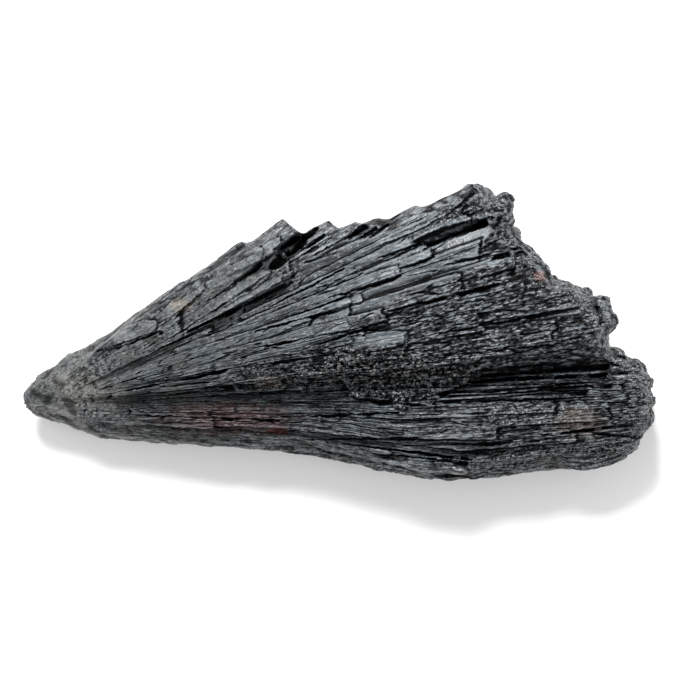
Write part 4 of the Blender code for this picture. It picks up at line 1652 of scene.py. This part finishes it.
@dataclass(frozen=True)
class Stain:
    """A coloured patch on the upper face: its place and reach in mm, its colour and how strong it is."""

    centre: Pair
    reach: Pair
    colour: Triple
    strength: float
    ragged: float = 1.6


STAINS = (
    Stain((-12.4, -9.5), (9.0, 2.1), (0.085, 0.040, 0.040), 0.55),
    Stain((-6.6, -10.9), (1.4, 0.5), (0.16, 0.035, 0.03), 0.6),
    Stain((-17.4, 2.9), (1.6, 0.9), (0.26, 0.22, 0.18), 0.45),
    Stain((-7.6, -5.4), (2.2, 0.9), (0.28, 0.25, 0.22), 0.4),
    Stain((26.0, -10.0), (3.4, 1.8), (0.15, 0.11, 0.09), 0.45),
    Stain((21.6, 6.0), (0.9, 0.7), (0.28, 0.16, 0.14), 0.5),
    Stain((-28.0, -6.5), (5.0, 2.6), (0.115, 0.112, 0.102), 0.5),
)


@dataclass(frozen=True)
class StoneFinish:
    """The stone's colours, gloss and relief."""

    name: str
    dark: Triple
    light: Triple
    weathered: Triple = (0.128, 0.126, 0.118)
    # The next two colours are painted light: a glint on grains, and shade in the gaps and hollows.
    bright: Triple = (0.36, 0.35, 0.34)
    gap: Triple = (0.002, 0.002, 0.0025)
    roughness: Pair = (0.20, 0.52)
    specular: float = 0.5
    bump: float = 0.35
    bump_height: float = 0.00012
    facets: float = 0.9


class StoneShader:
    """The stone's material, mixed from patterns that follow the blades and from the marks on the mesh."""

    def __init__(self, finish: StoneFinish, groups: EffectGroups) -> None:
        """Starts the material with the patterns that its colour, gloss and relief share.

        Args:
            finish: the colours, gloss and relief.
            groups: the node groups.
        """
        self.finish, self.groups = finish, groups
        self.material = bpy.data.materials.new(finish.name)
        self.material.use_nodes = True
        self.wires = wires = Wiring(self.material.node_tree)
        self.here = wires.add("ShaderNodeTexCoord").outputs["Object"]
        self.place = wires.add("ShaderNodeAttribute", attribute_name="fan_place").outputs["Vector"]
        self.tone_and_highlight, self.hollow = wires.mark("tone_and_highlight"), wires.mark("hollow")
        self.crust, self.rough = wires.mark("crust"), wires.mark("rough")
        self.streaks = wires.group(groups.streaks, Place=self.place)
        self.chips = self.broken(self.place, (4.4, 0.95, 2.0))
        self.fine_chips = self.broken(self.place, (8.0, 2.1, 4.0), (4.0, 9.0, 2.0))
        self.sand = self.broken(self.here, (4300.0, 4300.0, 4300.0))
        salt = wires.plus(wires.times(self.chips.outputs["Tone"], 0.6), self.fine_chips.outputs["Tone"], 0.4)
        self.salt = wires.math("SUBTRACT", salt, CHIP_MEAN)
        self.sand_tone = wires.math("SUBTRACT", self.sand.outputs["Tone"], CHIP_MEAN)
        sheets = wires.noise(wires.scaled(self.place, (0.8, 0.5, 9.0)), 1.0, 4.0)
        self.sheets = wires.times(wires.math("SUBTRACT", sheets, 0.52), wires.mark("wall"))
        self.grain = wires.noise(self.here, 2600.0, 3.0)

    def broken(self, place: Socket, scale: Triple, location: Triple = (0.0, 0.0, 0.0)) -> Node:
        """Broken grains of one size."""
        return self.wires.group(self.groups.chips, Place=self.wires.scaled(place, scale, location), Joint=0.5)

    def build(self) -> bpy.types.Material:
        """Feeds the shader and gives back the material."""
        wires, finish = self.wires, self.finish
        shader = self.material.node_tree.nodes["Principled BSDF"]
        shader.inputs["Metallic"].default_value = 0.0
        wires.feed(shader.inputs["Base Color"], self.colour())
        # Less reflection in the hollows, as part of their painted shade.
        wires.feed(shader.inputs["Specular IOR Level"],
                   wires.times(finish.specular, wires.plus(1.0, self.hollow, -0.9)))
        gloss = wires.plus(wires.times(self.grain, 0.5), self.tone_and_highlight, 0.5)
        low, high = finish.roughness
        wires.feed(shader.inputs["Roughness"], wires.plus(low, gloss, high - low))
        wires.feed(shader.inputs["Normal"], self.normal())
        return self.material

    def tone(self) -> Socket:
        """How light the bare stone is, by its lines, grains, broad patches and layers, with the painted
        highlights of the tone mark and the painted shade of the shade mark.
        """
        wires = self.wires
        patches = wires.noise(wires.scaled(self.here, (300.0, 300.0, 300.0)), 1.0)
        tone = wires.plus(wires.times(self.streaks.outputs["Tone"], 0.4), self.tone_and_highlight, 0.6)
        tone = wires.plus(tone, self.salt, wires.plus(0.12, self.rough, 2.0))
        tone = wires.plus(tone, self.sand_tone, wires.plus(0.08, self.crust, 2.2))
        tone = wires.plus(tone, wires.math("SUBTRACT", patches, 0.5), 0.5)
        tone = wires.plus(tone, wires.mark("shade"), -0.05)
        return wires.plus(tone, self.sheets, 3.6)

    def colour(self) -> Socket:
        """The bare stone's colour, with weathered skin, stains, painted glints on grains and painted shade in
        gaps and hollows laid over it.
        """
        wires, finish = self.wires, self.finish
        colour = wires.mix(wires.ramp(self.tone(), 0.22, 0.9), (*finish.dark, 1.0), (*finish.light, 1.0))
        colour = wires.mix(self.weathering(), colour, (*finish.weathered, 1.0))
        for stain in STAINS:
            patch = wires.group(self.groups.stain, Place=self.here, Ragged=stain.ragged,
                                Centre=in_metres(*stain.centre, STAIN_LEVEL),
                                Reach=in_metres(*stain.reach, STAIN_DEPTH))
            share = wires.times(patch.outputs["Mask"], stain.strength)
            colour = wires.mix(share, colour, (*stain.colour, 1.0))
        # Painted glints on the crust's grains and on the rough zones' chips.
        painted_glints = wires.times(wires.ramp(self.sand.outputs["Tone"], 0.62, 0.86), self.crust)
        glints = wires.ramp(self.fine_chips.outputs["Tone"], 0.70, 0.92)
        painted_glints = wires.math("MAXIMUM", painted_glints, wires.times(glints, wires.times(self.rough, 0.55)))
        colour = wires.mix(painted_glints, colour, (*finish.bright, 1.0))
        # Painted shade in the thin gaps and the hollows.
        gaps = wires.math("MAXIMUM", wires.times(self.streaks.outputs["GapShade"], 0.4),
                          wires.times(self.hollow, 0.95), clamp=True)
        return wires.mix(gaps, colour, (*finish.gap, 1.0))

    def weathering(self) -> Socket:
        """A mask of the paler weathered skin towards the root and along the flap."""
        wires = self.wires
        split = wires.add("ShaderNodeSeparateXYZ")
        wires.feed(split.inputs[0], self.here)
        along = wires.ramp(split.outputs["X"], 0.002, -0.040)
        clouds = wires.ramp(wires.noise(self.here, 260.0, 4.0, 0.6), 0.35, 0.7)
        flecks = wires.ramp(wires.noise(self.here, 900.0, 4.0, 0.6), 0.3, 0.75)
        skin = wires.times(wires.times(along, clouds), 0.75)
        waxy = wires.times(wires.times(wires.mark("weathered"), flecks), 0.6)
        return wires.math("MAXIMUM", skin, waxy)

    def normal(self) -> Socket:
        """The normal: fine relief, and broken grains that each lean their own way."""
        wires, finish = self.wires, self.finish
        height = wires.plus(self.streaks.outputs["Height"], self.grain, 0.35)
        height = wires.plus(height, self.salt, wires.times(self.rough, 1.5))
        height = wires.plus(height, self.sand_tone, wires.times(self.crust, 1.5))
        height = wires.plus(height, self.sheets, 2.5)
        bump = wires.add("ShaderNodeBump")
        bump.inputs["Strength"].default_value = finish.bump
        bump.inputs["Distance"].default_value = finish.bump_height
        wires.feed(bump.inputs["Height"], height)
        turned = bump.outputs[0]
        for grains, share in ((self.chips, wires.plus(0.04, self.rough, finish.facets)),
                              (self.sand, wires.plus(0.03, self.crust, finish.facets))):
            turned = wires.vector("ADD", turned, wires.vector("SCALE", grains.outputs["Tilt"], share))
        return wires.vector("NORMALIZE", turned)


@dataclass(frozen=True)
class Lamp:
    """A square soft light aimed at the fan: its place and size in metres and its power in watts."""

    name: str
    place: Triple
    size: float
    power: float

    def build(self) -> None:
        """Hangs the light up."""
        data = bpy.data.lights.new(self.name, "AREA")
        data.size = self.size
        data.energy = self.power
        lamp = bpy.data.objects.new(self.name, data)
        lamp.location = self.place
        lamp.rotation_euler = (-Vector(self.place)).to_track_quat("-Z", "Y").to_euler()
        bpy.context.scene.collection.objects.link(lamp)


@dataclass(frozen=True)
class Lens:
    """A long lens straight above the fan, focused on its face. In metres, the lens and its sensor in mm."""

    length: float = 240.0
    sensor: float = 36.0
    frame_width: float = 0.0764
    centre: Pair = (0.00103, -0.00199)
    level: float = 0.009
    clip: Pair = (0.01, 10.0)

    def build(self) -> None:
        """Sets the camera up."""
        data = bpy.data.cameras.new("main_view")
        data.lens = self.length
        data.sensor_width = self.sensor
        data.clip_start, data.clip_end = self.clip
        camera = bpy.data.objects.new("main_view", data)
        camera.location = (*self.centre, self.level + self.frame_width * self.length / self.sensor)
        bpy.context.scene.collection.objects.link(camera)
        bpy.context.scene.camera = camera


@dataclass(frozen=True)
class Studio:
    """The floor, the even light from all round, the soft lights and the camera. In metres."""

    floor_level: float
    floor_half: float = 3.0
    floor_drop: float = 0.00002
    daylight: float = 0.7
    lamps: tuple[Lamp, ...] = (Lamp("key_light", (-0.10, 0.40, 0.50), 0.2, 6.4),
                               Lamp("fill_light", (0.36, -0.2, 0.5), 0.4, 1.0))
    lens: Lens = Lens()

    def floor(self) -> None:
        """A plain pale floor under the fan, wide enough for every view."""
        shape = bmesh.new()
        bmesh.ops.create_grid(shape, x_segments=1, y_segments=1, size=self.floor_half)
        mesh = bpy.data.meshes.new("pale_floor")
        shape.to_mesh(mesh)
        shape.free()
        floor = bpy.data.objects.new("pale_floor", mesh)
        bpy.context.scene.collection.objects.link(floor)
        floor.location.z = self.floor_level - self.floor_drop
        material = bpy.data.materials.new("pale_floor")
        material.use_nodes = True
        shader = material.node_tree.nodes["Principled BSDF"]
        shader.inputs["Base Color"].default_value = (0.92, 0.92, 0.92, 1.0)
        shader.inputs["Roughness"].default_value = 0.9
        mesh.materials.append(material)
        floor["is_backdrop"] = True

    def world(self) -> None:
        """Even white light from all round."""
        world = bpy.data.worlds.new("studio")
        world.use_nodes = True
        background = world.node_tree.nodes["Background"]
        background.inputs["Color"].default_value = (1.0, 1.0, 1.0, 1.0)
        background.inputs["Strength"].default_value = self.daylight
        bpy.context.scene.world = world

    def build(self) -> None:
        """Sets everything up."""
        self.floor()
        self.world()
        for lamp in self.lamps:
            lamp.build()
        self.lens.build()
        bpy.context.scene.view_settings.view_transform = "Standard"


def main() -> None:
    """Loads the solid, dresses it and sets the studio up."""
    logging.basicConfig(level=logging.INFO, format="%(name)s: %(message)s")
    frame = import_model()
    cad_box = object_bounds()
    low, high = (np.array(corner) / MM for corner in cad_box)
    finish = StoneFinish("black_kyanite_stone", (0.006, 0.007, 0.009), (0.124, 0.143, 0.157))
    stone = StoneShader(finish, EffectGroups()).build()
    relief = Relief()
    cad = frame["nodes"][NODE]
    solid = Solid(cad.data)
    form = StoneForm(cad)
    worn = form.worn()
    outline = Outline(Solid(worn), low, high)
    for skin in SKINS:
        mesh = skin.build(solid, outline, relief)
        move_points(mesh, np.clip(points_of(mesh), low, high))
        new_piece(skin.name, mesh, stone)
    mesh = form.build(worn, relief, outline)
    move_points(mesh, np.clip(points_of(mesh), low, high))
    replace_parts(new_piece("fan_stone", mesh, stone), NODE)
    Studio(cad_box[0].z).build()
    bpy.context.view_layer.update()


if __name__ == "__main__":
    main()
